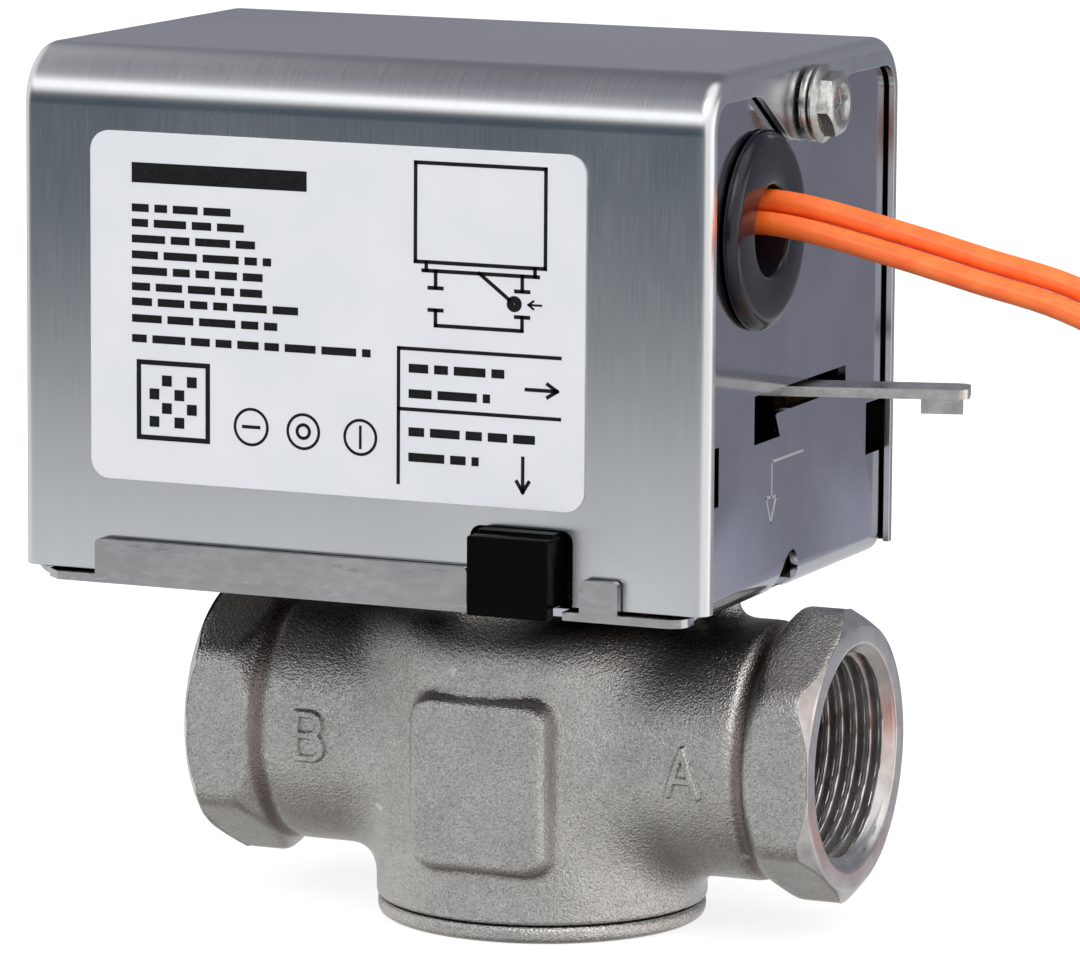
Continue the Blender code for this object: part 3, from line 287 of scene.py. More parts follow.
def mat_plate():
    """Bright sheet of the chassis: near mirror on the end plates, satin and
    faintly marked on the outside flanges."""
    s = Shader("chassis_sheet", (0.50, 0.50, 0.55), 1.0, 0.16)
    x, y, z = s.xyz()[:3]
    wave = s.noise(s.coord((38.0, 38.0, 38.0)), 1.0, 2.0, 0.5)
    fine = s.noise(s.coord((2500.0, 2500.0, 2500.0)), 1.0, 2.0, 0.6)
    mott = s.noise(s.coord((420.0, 420.0, 900.0)), 1.0, 3.0, 0.6)
    rub = s.noise(s.coord((70.0, 70.0, 70.0)), 1.0, 3.0, 0.55)
    out = s.ramp(y, -31.0, -31.4)
    col = s.mix(s.ramp(rub, 0.35, 0.7), (0.46, 0.465, 0.52), (0.52, 0.525, 0.575))
    dull = s.mix(s.ramp(mott, 0.35, 0.7), (0.39, 0.39, 0.40), (0.47, 0.47, 0.48))
    scr = s.noise(s.coord((260.0, 260.0, 1500.0)), 1.0, 4.0, 0.75)
    scuff = s.math("MULTIPLY", s.ramp(scr, 0.58, 0.66, 0.0, 0.8), s.ramp(s.math("ABSOLUTE", s.math("SUBTRACT", z, 46.7)), 1.3, 0.5))
    dull = s.mix(s.math("MULTIPLY", scuff, 0.45), dull, (0.16, 0.16, 0.165))
    pale = s.math("MULTIPLY", s.ramp(scr, 0.40, 0.33, 0.0, 0.3), s.ramp(z, 45.6, 43.4))
    dull = s.mix(pale, dull, (0.74, 0.74, 0.75))
    # painted shade: the chassis's inside faces are painted near black
    inside_shade = s.math("MULTIPLY", s.ramp(x, 31.72, 31.62), s.ramp(x, -52.78, -52.62))
    inside_shade = s.math("MULTIPLY", inside_shade, s.math("MULTIPLY", s.ramp(z, 43.3, 43.45), s.ramp(s.math("ABSOLUTE", y), 30.9, 30.3)))
    # painted shade: the base plate's underside is painted dark
    underside_shade = s.math("MULTIPLY", s.ramp(z, 42.58, 42.46), s.ramp(s.math("ABSOLUTE", y), 30.6, 29.8))
    face = s.mix(underside_shade, s.mix(out, col, dull), (0.15, 0.145, 0.145))
    s.color(s.mix(inside_shade, face, (0.035, 0.034, 0.034)))
    base = s.ramp(rub, 0.3, 0.7, 0.075, 0.12)
    extra = s.math("MULTIPLY", out, s.ramp(mott, 0.3, 0.7, 0.085, 0.115))
    s.rough(s.math("ADD", base, extra))
    n = s.bump(wave, 0.16, 0.25)
    n = s.bump(mott, 0.010, 0.25, n)
    n = s.bump(fine, 0.0025, 0.3, n)
    s.normal(n)
    return s.m


def mat_zinc(name="zinc_bright", rgb=(0.58, 0.575, 0.56), ro=(0.18, 0.38)):
    s = Shader(name, rgb, 1.0, 0.28)
    c = s.coord()
    a = s.noise(c, 1.1, 3.0, 0.6)
    b = s.noise(c, 6.0, 2.0, 0.6)
    s.color(s.mix(s.ramp(a, 0.35, 0.7), rgb, tuple(v * 0.74 for v in rgb)))
    s.rough(s.ramp(a, 0.3, 0.7, ro[0], ro[1]))
    n = s.bump(a, 0.05, 0.35)
    s.normal(s.bump(b, 0.01, 0.4, n))
    return s.m


def mat_lever():
    s = Shader("lever_steel", (0.62, 0.62, 0.60), 1.0, 0.3)
    grain = s.noise(s.coord((160.0, 2200.0, 5200.0)), 1.0, 3.0, 0.7)
    blot = s.noise(s.coord((420.0, 420.0, 420.0)), 1.0, 3.0, 0.6)
    s.color(s.mix(s.ramp(blot, 0.35, 0.7), (0.64, 0.64, 0.62), (0.47, 0.47, 0.455)))
    s.rough(s.ramp(grain, 0.25, 0.75, 0.22, 0.42))
    s.normal(s.bump(grain, 0.01, 0.5))
    return s.m


def mat_rubber(name="grommet_rubber", rgb=(0.009, 0.009, 0.014), ro=(0.11, 0.17)):
    s = Shader(name, rgb, 0.0, 0.4)
    c = s.coord()
    a = s.noise(c, 0.6, 3.0, 0.6)
    b = s.noise(c, 7.0, 2.0, 0.6)
    s.color(s.mix(s.ramp(a, 0.3, 0.7), rgb, tuple(v * 1.3 + 0.001 for v in rgb)))
    s.b.inputs["Specular IOR Level"].default_value = 0.34
    s.rough(s.ramp(a, 0.3, 0.7, ro[0], ro[1]))
    s.normal(s.bump(b, 0.012, 0.5))
    return s.m


def mat_gloss_black():
    s = Shader("button_plastic", (0.002, 0.002, 0.0024), 0.0, 0.2)
    s.b.inputs["Specular IOR Level"].default_value = 0.03
    c = s.coord()
    a = s.noise(c, 0.35, 2.0, 0.5)
    b = s.noise(c, 5.0, 2.0, 0.6)
    dust = s.noise(c, 2.6, 4.0, 0.7)
    s.color(s.mix(s.ramp(dust, 0.66, 0.74, 0.0, 0.5), (0.002, 0.002, 0.0024), (0.012, 0.012, 0.013)))
    s.rough(s.ramp(a, 0.3, 0.7, 0.13, 0.24))
    n = s.bump(a, 0.06, 0.3)
    s.normal(s.bump(b, 0.006, 0.4, n))
    return s.m


def mat_label():
    s = Shader("label_film", (0.70, 0.71, 0.76), 0.0, 0.42)
    c = s.coord()
    a = s.noise(c, 0.09, 2.0, 0.5)
    b = s.noise(c, 4.0, 2.0, 0.6)
    s.color(s.mix(s.ramp(a, 0.3, 0.7), (0.635, 0.655, 0.69), (0.665, 0.68, 0.715)))
    s.rough(s.ramp(b, 0.3, 0.7, 0.36, 0.48))
    s.normal(s.bump(b, 0.008, 0.35))
    return s.m


def mat_ink():
    s = Shader("label_ink", (0.005, 0.005, 0.006), 0.0, 0.5)
    s.b.inputs["Specular IOR Level"].default_value = 0.15
    c = s.coord()
    a = s.noise(c, 6.0, 3.0, 0.7)
    s.color(s.mix(s.ramp(a, 0.4, 0.7), (0.004, 0.004, 0.005), (0.016, 0.016, 0.018)))
    s.rough(s.ramp(a, 0.3, 0.7, 0.42, 0.6))
    return s.m


def mat_lead():
    s = Shader("lead_insulation", (0.95, 0.14, 0.015), 0.0, 0.40)
    s.b.inputs["Specular IOR Level"].default_value = 0.6
    s.b.inputs["Coat Weight"].default_value = 0.35
    s.b.inputs["Coat Roughness"].default_value = 0.30
    c = s.coord()
    a = s.noise(c, 0.35, 3.0, 0.6)
    b = s.noise(c, 2.4, 3.0, 0.6)
    s.color(s.mix(s.ramp(a, 0.3, 0.7), (0.97, 0.19, 0.028), (0.90, 0.13, 0.016)))
    s.rough(s.ramp(b, 0.3, 0.7, 0.32, 0.46))
    s.b.inputs["Subsurface Weight"].default_value = 0.15
    s.b.inputs["Subsurface Radius"].default_value = (0.0016, 0.0006, 0.0003)
    s.b.inputs["Subsurface Scale"].default_value = 0.5
    n = s.bump(a, 0.10, 0.4)
    s.normal(s.bump(b, 0.03, 0.35, n))
    return s.m


def mat_strand():
    s = Shader("tinned_strand", (0.74, 0.73, 0.70), 1.0, 0.3)
    a = s.noise(s.coord(), 3.0, 3.0, 0.6)
    s.color(s.mix(s.ramp(a, 0.3, 0.7), (0.76, 0.75, 0.72), (0.55, 0.50, 0.44)))
    s.rough(s.ramp(a, 0.3, 0.7, 0.22, 0.4))
    s.normal(s.bump(a, 0.02, 0.5))
    return s.m


def mat_plastic(name, rgb, ro=0.45):
    s = Shader(name, rgb, 0.0, ro)
    c = s.coord()
    a = s.noise(c, 1.0, 3.0, 0.6)
    b = s.noise(c, 9.0, 2.0, 0.6)
    s.color(s.mix(s.ramp(a, 0.3, 0.7), rgb, tuple(v * 0.86 for v in rgb)))
    s.rough(s.ramp(a, 0.3, 0.7, ro - 0.07, ro + 0.09))
    s.normal(s.bump(b, 0.01, 0.5))
    return s.m


def mat_engrave():
    s = Shader("scribed_line", (0.86, 0.86, 0.86), 0.55, 0.4)
    a = s.noise(s.coord(), 5.0, 3.0, 0.7)
    s.color(s.mix(s.ramp(a, 0.3, 0.7), (0.50, 0.50, 0.51), (0.40, 0.40, 0.42)))
    s.rough(s.ramp(a, 0.3, 0.7, 0.35, 0.55))
    return s.m


M_CAST = mat_cast()
M_BRUSH = mat_brushed()
M_PLATE = mat_plate()
M_ZINC = mat_zinc()
M_LEVER = mat_lever()
M_RUBBER = mat_rubber()
M_BUTTON = mat_gloss_black()
M_LABEL = mat_label()
M_INK = mat_ink()
M_LEAD = mat_lead()
M_STRAND = mat_strand()
M_TURNED = mat_turned("turned_port", (0.66, 0.65, 0.645), 0.0, 22.4, "x", (0.24, 0.34))
M_BRASS = mat_zinc("brass_turned", (0.34, 0.25, 0.12), (0.3, 0.45))
M_SPRING = mat_zinc("spring_wire", (0.42, 0.42, 0.43), (0.2, 0.35))
M_NYLON = mat_plastic("hub_nylon", (0.70, 0.67, 0.58), 0.42)
M_WHITE = mat_plastic("splice_plastic", (0.72, 0.71, 0.67), 0.42)
M_TIE = mat_plastic("tie_nylon", (0.015, 0.015, 0.016), 0.38)
M_ENGR = mat_engrave()

# -------------------------------------------------------------- mesh helpers


def add(name, me, mat, body, *nodes):
    ob = bpy.data.objects.new(name, me)
    SCENE.collection.objects.link(ob)
    if mat is not None:
        me.materials.clear()
        me.materials.append(mat)
    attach(ob, body)
    if nodes:
        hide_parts(*nodes)
    return ob


def temp(me):
    ob = bpy.data.objects.new("tmp", me)
    SCENE.collection.objects.link(ob)
    return ob


def bm_mesh(bm, name="m"):
    bmesh.ops.recalc_face_normals(bm, faces=bm.faces[:])
    me = bpy.data.meshes.new(name)
    bm.to_mesh(me)
    bm.free()
    return me


def box(x0, x1, y0, y1, z0, z1):
    bm = bmesh.new()
    bmesh.ops.create_cube(bm, size=1.0)
    for v in bm.verts:
        v.co = Vector(((x0 + x1) / 2 + v.co.x * (x1 - x0), (y0 + y1) / 2 + v.co.y * (y1 - y0),
                       (z0 + z1) / 2 + v.co.z * (z1 - z0))) * MM
    return bm_mesh(bm)


AXES = {"x": lambda a, b, h: (h, a, b), "y": lambda a, b, h: (a, h, b), "z": lambda a, b, h: (a, b, h)}


def prism(pts, axis, lo, hi):
    bm = bmesh.new()
    f = AXES[axis]
    a = [bm.verts.new(Vector(f(p[0], p[1], lo)) * MM) for p in pts]
    b = [bm.verts.new(Vector(f(p[0], p[1], hi)) * MM) for p in pts]
    n = len(pts)
    bm.faces.new(a)
    bm.faces.new(b[::-1])
    for i in range(n):
        bm.faces.new((a[i], a[(i + 1) % n], b[(i + 1) % n], b[i]))
    return bm_mesh(bm)


def lathe(prof, seg, centre=(0, 0, 0), axis="z", closed=False):
    bm = bmesh.new()
    rings = []
    cx, cy, cz = centre
    for r, h in prof:
        if r < 1e-6 and not closed:
            p = {"z": (cx, cy, cz + h), "x": (cx + h, cy, cz), "y": (cx, cy + h, cz)}[axis]
            rings.append([bm.verts.new(Vector(p) * MM)])
            continue
        row = []
        for k in range(seg):
            t = 2 * math.pi * (k + 0.5) / seg
            a, b = r * math.cos(t), r * math.sin(t)
            p = {"z": (cx + a, cy + b, cz + h), "x": (cx + h, cy + a, cz + b),
                 "y": (cx + a, cy + h, cz + b)}[axis]
            row.append(bm.verts.new(Vector(p) * MM))
        rings.append(row)
    m = len(rings)
    for i in range(m if closed else m - 1):
        a, b = rings[i], rings[(i + 1) % m]
        if len(a) == 1 and len(b) == 1:
            continue
        for k in range(seg):
            k2 = (k + 1) % seg
            if len(a) == 1:
                bm.faces.new((a[0], b[k], b[k2]))
            elif len(b) == 1:
                bm.faces.new((a[k2], a[k], b[0]))
            else:
                bm.faces.new((a[k], b[k], b[k2], a[k2]))
    return bm_mesh(bm)


def rod(r, lo, hi, centre=(0, 0, 0), axis="z", seg=48):
    return lathe([(0, lo), (r, lo), (r, hi), (0, hi)], seg, centre, axis)


def arc(cx, cy, r, a0, a1, n):
    return [(cx + r * math.cos(math.radians(a0 + (a1 - a0) * k / n)),
             cy + r * math.sin(math.radians(a0 + (a1 - a0) * k / n))) for k in range(n + 1)]


def rounded_rect(x0, x1, y0, y1, r, n=8):
    return (arc(x1 - r, y1 - r, r, 0, 90, n) + arc(x0 + r, y1 - r, r, 90, 180, n)
            + arc(x0 + r, y0 + r, r, 180, 270, n) + arc(x1 - r, y0 + r, r, 270, 360, n))


def capsule(p, q, r, n=12):
    a = math.degrees(math.atan2(q[1] - p[1], q[0] - p[0]))
    return arc(q[0], q[1], r, a - 90, a + 90, n) + arc(p[0], p[1], r, a + 90, a + 270, n)


def boolean(me, op, *others):
    """Exact Booleans of temporary solids; returns the new mesh."""
    ob = temp(me)
    for other in others:
        tool = temp(other)
        mod = ob.modifiers.new("b", "BOOLEAN")
        mod.operation, mod.solver, mod.object = op, "EXACT", tool
        deps = bpy.context.evaluated_depsgraph_get()
        new = bpy.data.meshes.new_from_object(ob.evaluated_get(deps))
        ob.modifiers.clear()
        ob.data = new
        bpy.data.objects.remove(tool, do_unlink=True)
    me = ob.data
    bpy.data.objects.remove(ob, do_unlink=True)
    return me


def union(me, *o):
    return boolean(me, "UNION", *o)


def cut(me, *o):
    return boolean(me, "DIFFERENCE", *o)


def soften(me, width=0.12, segs=2, angle=32.0, smooth=True):
    """Round a mesh's sharp edges and shade it smooth."""
    bm = bmesh.new()
    bm.from_mesh(me)
    bmesh.ops.remove_doubles(bm, verts=bm.verts[:], dist=2e-6)
    bmesh.ops.dissolve_degenerate(bm, edges=bm.edges[:], dist=1e-6)
    bm.to_mesh(me)
    bm.free()
    ob = temp(me)
    mod = ob.modifiers.new("v", "BEVEL")
    mod.width, mod.segments = width * MM, segs
    mod.limit_method, mod.angle_limit = "ANGLE", math.radians(angle)
    mod.miter_outer = "MITER_ARC"
    mod.use_clamp_overlap = True
    me.shade_smooth()
    mod.harden_normals = True
    deps = bpy.context.evaluated_depsgraph_get()
    new = bpy.data.meshes.new_from_object(ob.evaluated_get(deps))
    bpy.data.objects.remove(ob, do_unlink=True)
    return new


def smooth(me, angle=35.0):
    me.shade_smooth()
    me.set_sharp_from_angle(angle=math.radians(angle))
    return me


# ------------------------------------------------------------- cord route
COIL_C = (91.0, 14.0)
COIL_R, COIL_PITCH, COIL_Z0 = 14.15, 3.05, 2.25
COIL_IN, COIL_OUT, COIL_TURNS = math.radians(-20.0), math.radians(60.0), 3
PAIR, LEAD_D = 3.1, 2.8
LEAD_R = LEAD_D / 2
TAIL_A, TAIL_B = 22.0, 44.0
TOP_Z = COIL_Z0 + COIL_PITCH * COIL_TURNS + 0.9
RING_OUT = COIL_R + PAIR / 2 + LEAD_R + 0.15
RING_IN = COIL_R - PAIR / 2 - LEAD_R - 0.15
RING_HI = TOP_Z - LEAD_R - 0.3


def catmull(ctrl, per):
    out = []
    p = [Vector(c) for c in ctrl]
    p = [p[0] * 2 - p[1]] + p + [p[-1] * 2 - p[-2]]
    for i in range(1, len(p) - 2):
        for k in range(per):
            t = k / per
            a, b, c, d = p[i - 1], p[i], p[i + 1], p[i + 2]
            out.append(0.5 * ((2 * b) + (c - a) * t + (2 * a - 5 * b + 4 * c - d) * t * t
                              + (3 * b - a - 3 * c + d) * t * t * t))
    out.append(p[-2].copy())
    return out


def resample(pts, step):
    out = [pts[0].copy()]
    need = step
    for a, b in zip(pts, pts[1:]):
        seg = (b - a).length
        pos = 0.0
        while seg - pos >= need:
            pos += need
            out.append(a + (b - a) * (pos / seg))
            need = step
        need -= seg - pos
    if (out[-1] - pts[-1]).length > step * 0.3:
        out.append(pts[-1].copy())
    else:
        out[-1] = pts[-1].copy()
    return out


in_p = Vector((COIL_C[0] + COIL_R * math.cos(COIL_IN), COIL_C[1] + COIL_R * math.sin(COIL_IN), TOP_Z))
in_d = Vector((-math.sin(COIL_IN), math.cos(COIL_IN), 0.0))
in_radial = Vector((math.cos(COIL_IN), math.sin(COIL_IN), 0.0))
centre_ctrl = [(22.0, -12.6, 88.6), (28.0, -12.6, 88.85), (34.0, -12.6, 88.9), (38.2, -12.65, 88.45),
               (43.0, -12.8, 87.55), (49.0, -13.0, 86.25), (55.3, -13.2, 84.8), (61.5, -13.4, 83.3),
               (70.2, -13.7, 81.3), (79.0, -14.0, 77.6), (87.0, -14.1, 71.0), (93.5, -13.9, 62.2),
               (98.0, -13.2, 52.0), (100.7, -11.8, 41.6), (101.6, -8.8, 31.6), (101.6, -3.6, 22.6),
               tuple(in_p - in_d * 6.5 + Vector((0, 0, 3.6))),
               tuple(in_p - in_d * 1.0 + Vector((0, 0, 0.35))), tuple(in_p + in_d * 1.2)]
centre = resample(catmull(centre_ctrl, 12), 1.0)


def pair_offset(i, pts, side):
    t = (pts[min(i + 1, len(pts) - 1)] - pts[max(i - 1, 0)]).normalized()
    f = i / (len(pts) - 1)
    g = max(0.0, min(1.0, (f - 0.50) / 0.45))
    g = g * g * (3 - 2 * g)
    w = Vector((0.0, 0.62, 0.78)) * (1 - g) + in_radial * g
    n = (w - t * w.dot(t)).normalized()
    return pts[i] + n * (side * PAIR / 2.0)


def lead_points(side, tail):
    """One lead, from its splice through the grommet, the coil and the tail."""
    pts = resample([pair_offset(i, centre, side) for i in range(len(centre))], 4.0)
    rr = COIL_R + side * PAIR / 2.0
    total = 2 * math.pi * COIL_TURNS + (COIL_OUT - COIL_IN)
    per = 26
    n = int(total / (2 * math.pi) * per)
    skip = 0.12
    for k in range(1, n + 1):
        f = k / n
        if f * total < skip:
            continue
        th = COIL_IN + f * total
        z = TOP_Z + (COIL_Z0 - TOP_Z) * f
        w = 0.10 * math.sin(3.1 * th + side)
        pts.append(Vector((COIL_C[0] + (rr + w) * math.cos(th), COIL_C[1] + (rr + w) * math.sin(th), z)))
    out_d = Vector((-math.sin(COIL_OUT), math.cos(COIL_OUT), 0.0))
    out_r = Vector((math.cos(COIL_OUT), math.sin(COIL_OUT), 0.0))
    s0 = math.sqrt((RING_OUT + 0.3) ** 2 - (rr - LEAD_R) ** 2) + 0.2
    s1 = s0 + tail - 7.3
    base = Vector((COIL_C[0], COIL_C[1], 0.0)) + out_r * rr
    m = max(6, int(s1 / 4.5))
    last = None
    for k in range(1, m + 1):
        s = s1 * k / m
        f = max(0.0, (s - s0) / (s1 - s0))
        sway = (out_r * 1.0 if side > 0 else Vector((6.0, -1.0, 0.0))) * (f * f)
        last = base + out_d * s + sway + Vector((0, 0, COIL_Z0 - 0.8 * min(1.0, s / s0)))
        pts.append(last)
    return pts


def cord_curve(name, pts, r, mat, res=6):
    cu = bpy.data.curves.new(name, "CURVE")
    cu.dimensions = "3D"
    cu.bevel_depth = r * MM
    cu.bevel_resolution = res
    cu.use_fill_caps = True
    sp = cu.splines.new("POLY")
    sp.points.add(len(pts) - 1)
    for q, p in zip(sp.points, pts):
        q.co = (p[0] * MM, p[1] * MM, p[2] * MM, 1.0)
    sp.use_smooth = True
    ob = bpy.data.objects.new(name, cu)
    SCENE.collection.objects.link(ob)
    cu.materials.append(mat)
    return ob


def finer(pts, per=3):
    return catmull([tuple(p) for p in pts], per)


def length_of(pts):
    return sum((b - a).length for a, b in zip(pts, pts[1:]))


def strands(name, p0, d, body, *nodes):
    """Seven tinned strands, slightly splayed and twisted."""
    d = d.normalized()
    side = d.cross(Vector((0, 0, 1))).normalized()
    upv = side.cross(d)
    bm = bmesh.new()
    n, seg = 10, 8
    for s in range(7):
        a0 = 2 * math.pi * s / 6
        r0 = 0.0 if s == 6 else 0.40
        rings = []
        for k in range(n + 1):
            t = k / n
            a = a0 + 1.6 * t
            rad = r0 * (1.0 + 0.22 * t * t)
            c = p0 + d * (7.0 * t - 1.0) + side * (rad * math.cos(a)) + upv * (rad * math.sin(a)) \
                + Vector((0, 0, -0.28 * t * t))
            c.z = max(c.z, 0.24)
            ring = []
            for q in range(seg):
                b = 2 * math.pi * q / seg
                ring.append(bm.verts.new((c + side * (0.19 * math.cos(b)) + upv * (0.19 * math.sin(b))) * MM))
            rings.append(ring)
        for i in range(n):
            for q in range(seg):
                bm.faces.new((rings[i][q], rings[i][(q + 1) % seg], rings[i + 1][(q + 1) % seg], rings[i + 1][q]))
        bm.faces.new(rings[0][::-1])
        bm.faces.new(rings[-1])
    me = bm_mesh(bm, name)
    smooth(me, 50)
    ob = add(name, me, M_STRAND, body, *nodes)
    return ob


BODY = "frame"
pts_a, pts_b = lead_points(1.0, TAIL_A), lead_points(-1.0, TAIL_B)
lead_a = cord_curve("lead_a_cord", finer(pts_a, 2), LEAD_R, M_LEAD)
lead_b = cord_curve("lead_b_cord", finer(pts_b, 2), LEAD_R, M_LEAD)
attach(lead_a, BODY)
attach(lead_b, BODY)
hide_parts("lead_a", "lead_coil", "lead_a_tail")
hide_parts("lead_b", "lead_b_tail")
tip_a = strands("lead_a_strands", pts_a[-1], pts_a[-1] - pts_a[-2], BODY, "lead_a_end")
tip_b = strands("lead_b_strands", pts_b[-1], pts_b[-1] - pts_b[-2], BODY, "lead_b_end")

# cable tie: a strap round both leads' turns, with its head on the inside
TIE_A = math.radians(215.0)
strap = prism(rounded_rect(RING_IN - 0.62, RING_OUT + 0.62, 0.06, RING_HI + 0.42, 1.5, 8), "y", -1.25, 1.25)
strap = cut(strap, prism(rounded_rect(RING_IN - 0.05, RING_OUT + 0.05, 0.62, RING_HI - 0.14, 1.1, 8), "y", -3, 3))
head = box(RING_IN - 2.9, RING_IN - 0.35, -1.9, 1.9, RING_HI - 4.6, RING_HI - 0.6)
strap = union(strap, head)
strap = union(strap, box(RING_IN - 6.4, RING_IN - 1.0, -0.9, 0.9, RING_HI - 2.9, RING_HI - 2.3))
strap = soften(strap, 0.15, 2)
strap.transform(Matrix.Translation(Vector((COIL_C[0], COIL_C[1], 0)) * MM) @ Matrix.Rotation(TIE_A, 4, "Z"))
tie = add("coil_tie_strap", strap, M_TIE, BODY, "coil_tie")

# ---------------------------------------------------------- casting by field
PORT_Z, PORT_X, PIPE_R = 22.4, 40.7, 15.7
STEM_Y = -11.5


def smin(a, b, k):
    h = np.maximum(k - np.abs(a - b), 0.0) / k
    return np.minimum(a, b) - h * h * k * 0.25


def smax(a, b, k):
    return -smin(-a, -b, k)


def surface_nets(F, origin, h):
    """Closed quad surface of the field's zero level."""
    nx, ny, nz = F.shape
    inside = F < 0.0
    cells = np.zeros((nx - 1, ny - 1, nz - 1), np.uint8)
    for dx in (0, 1):
        for dy in (0, 1):
            for dz in (0, 1):
                cells += inside[dx:nx - 1 + dx, dy:ny - 1 + dy, dz:nz - 1 + dz]
    act = (cells > 0) & (cells < 8)
    idx = np.argwhere(act)
    ids = np.full(act.shape, -1, np.int64)
    ids[act] = np.arange(len(idx))
    pos = np.zeros((len(idx), 3))
    cnt = np.zeros(len(idx))
    corners = [(a, b, c) for a in (0, 1) for b in (0, 1) for c in (0, 1)]
    for p in corners:
        for ax in range(3):
            if p[ax]:
                continue
            q = list(p)
            q[ax] = 1
            i0 = idx + np.array(p)
            i1 = idx + np.array(q)
            f0 = F[i0[:, 0], i0[:, 1], i0[:, 2]]
            f1 = F[i1[:, 0], i1[:, 1], i1[:, 2]]
            m = (f0 < 0) != (f1 < 0)
            t = f0[m] / (f0[m] - f1[m])
            pos[m] += i0[m] + t[:, None] * (i1[m] - i0[m])
            cnt[m] += 1
    pos /= cnt[:, None]
    verts = np.array(origin) + pos * h
    quads = []
    for ax in range(3):
        a1, a2 = (ax + 1) % 3, (ax + 2) % 3
        sl0 = [slice(None)] * 3
        sl1 = [slice(None)] * 3
        sl0[ax], sl1[ax] = slice(0, -1), slice(1, None)
        for s in (a1, a2):
            sl0[s] = slice(1, -1)
            sl1[s] = slice(1, -1)
        A, B = inside[tuple(sl0)], inside[tuple(sl1)]
        e = np.argwhere(A != B)
        if not len(e):
            continue
        base = e.copy()
        base[:, a1] += 1
        base[:, a2] += 1
        out = A[e[:, 0], e[:, 1], e[:, 2]]
        c = []
        for da, db in ((0, 0), (-1, 0), (-1, -1), (0, -1)):
            v = base.copy()
            v[:, a1] += da
            v[:, a2] += db
            c.append(ids[v[:, 0], v[:, 1], v[:, 2]])
        q = np.stack(c, 1)
        q[~out] = q[~out][:, ::-1]
        quads.append(q)
    return verts, np.concatenate(quads)


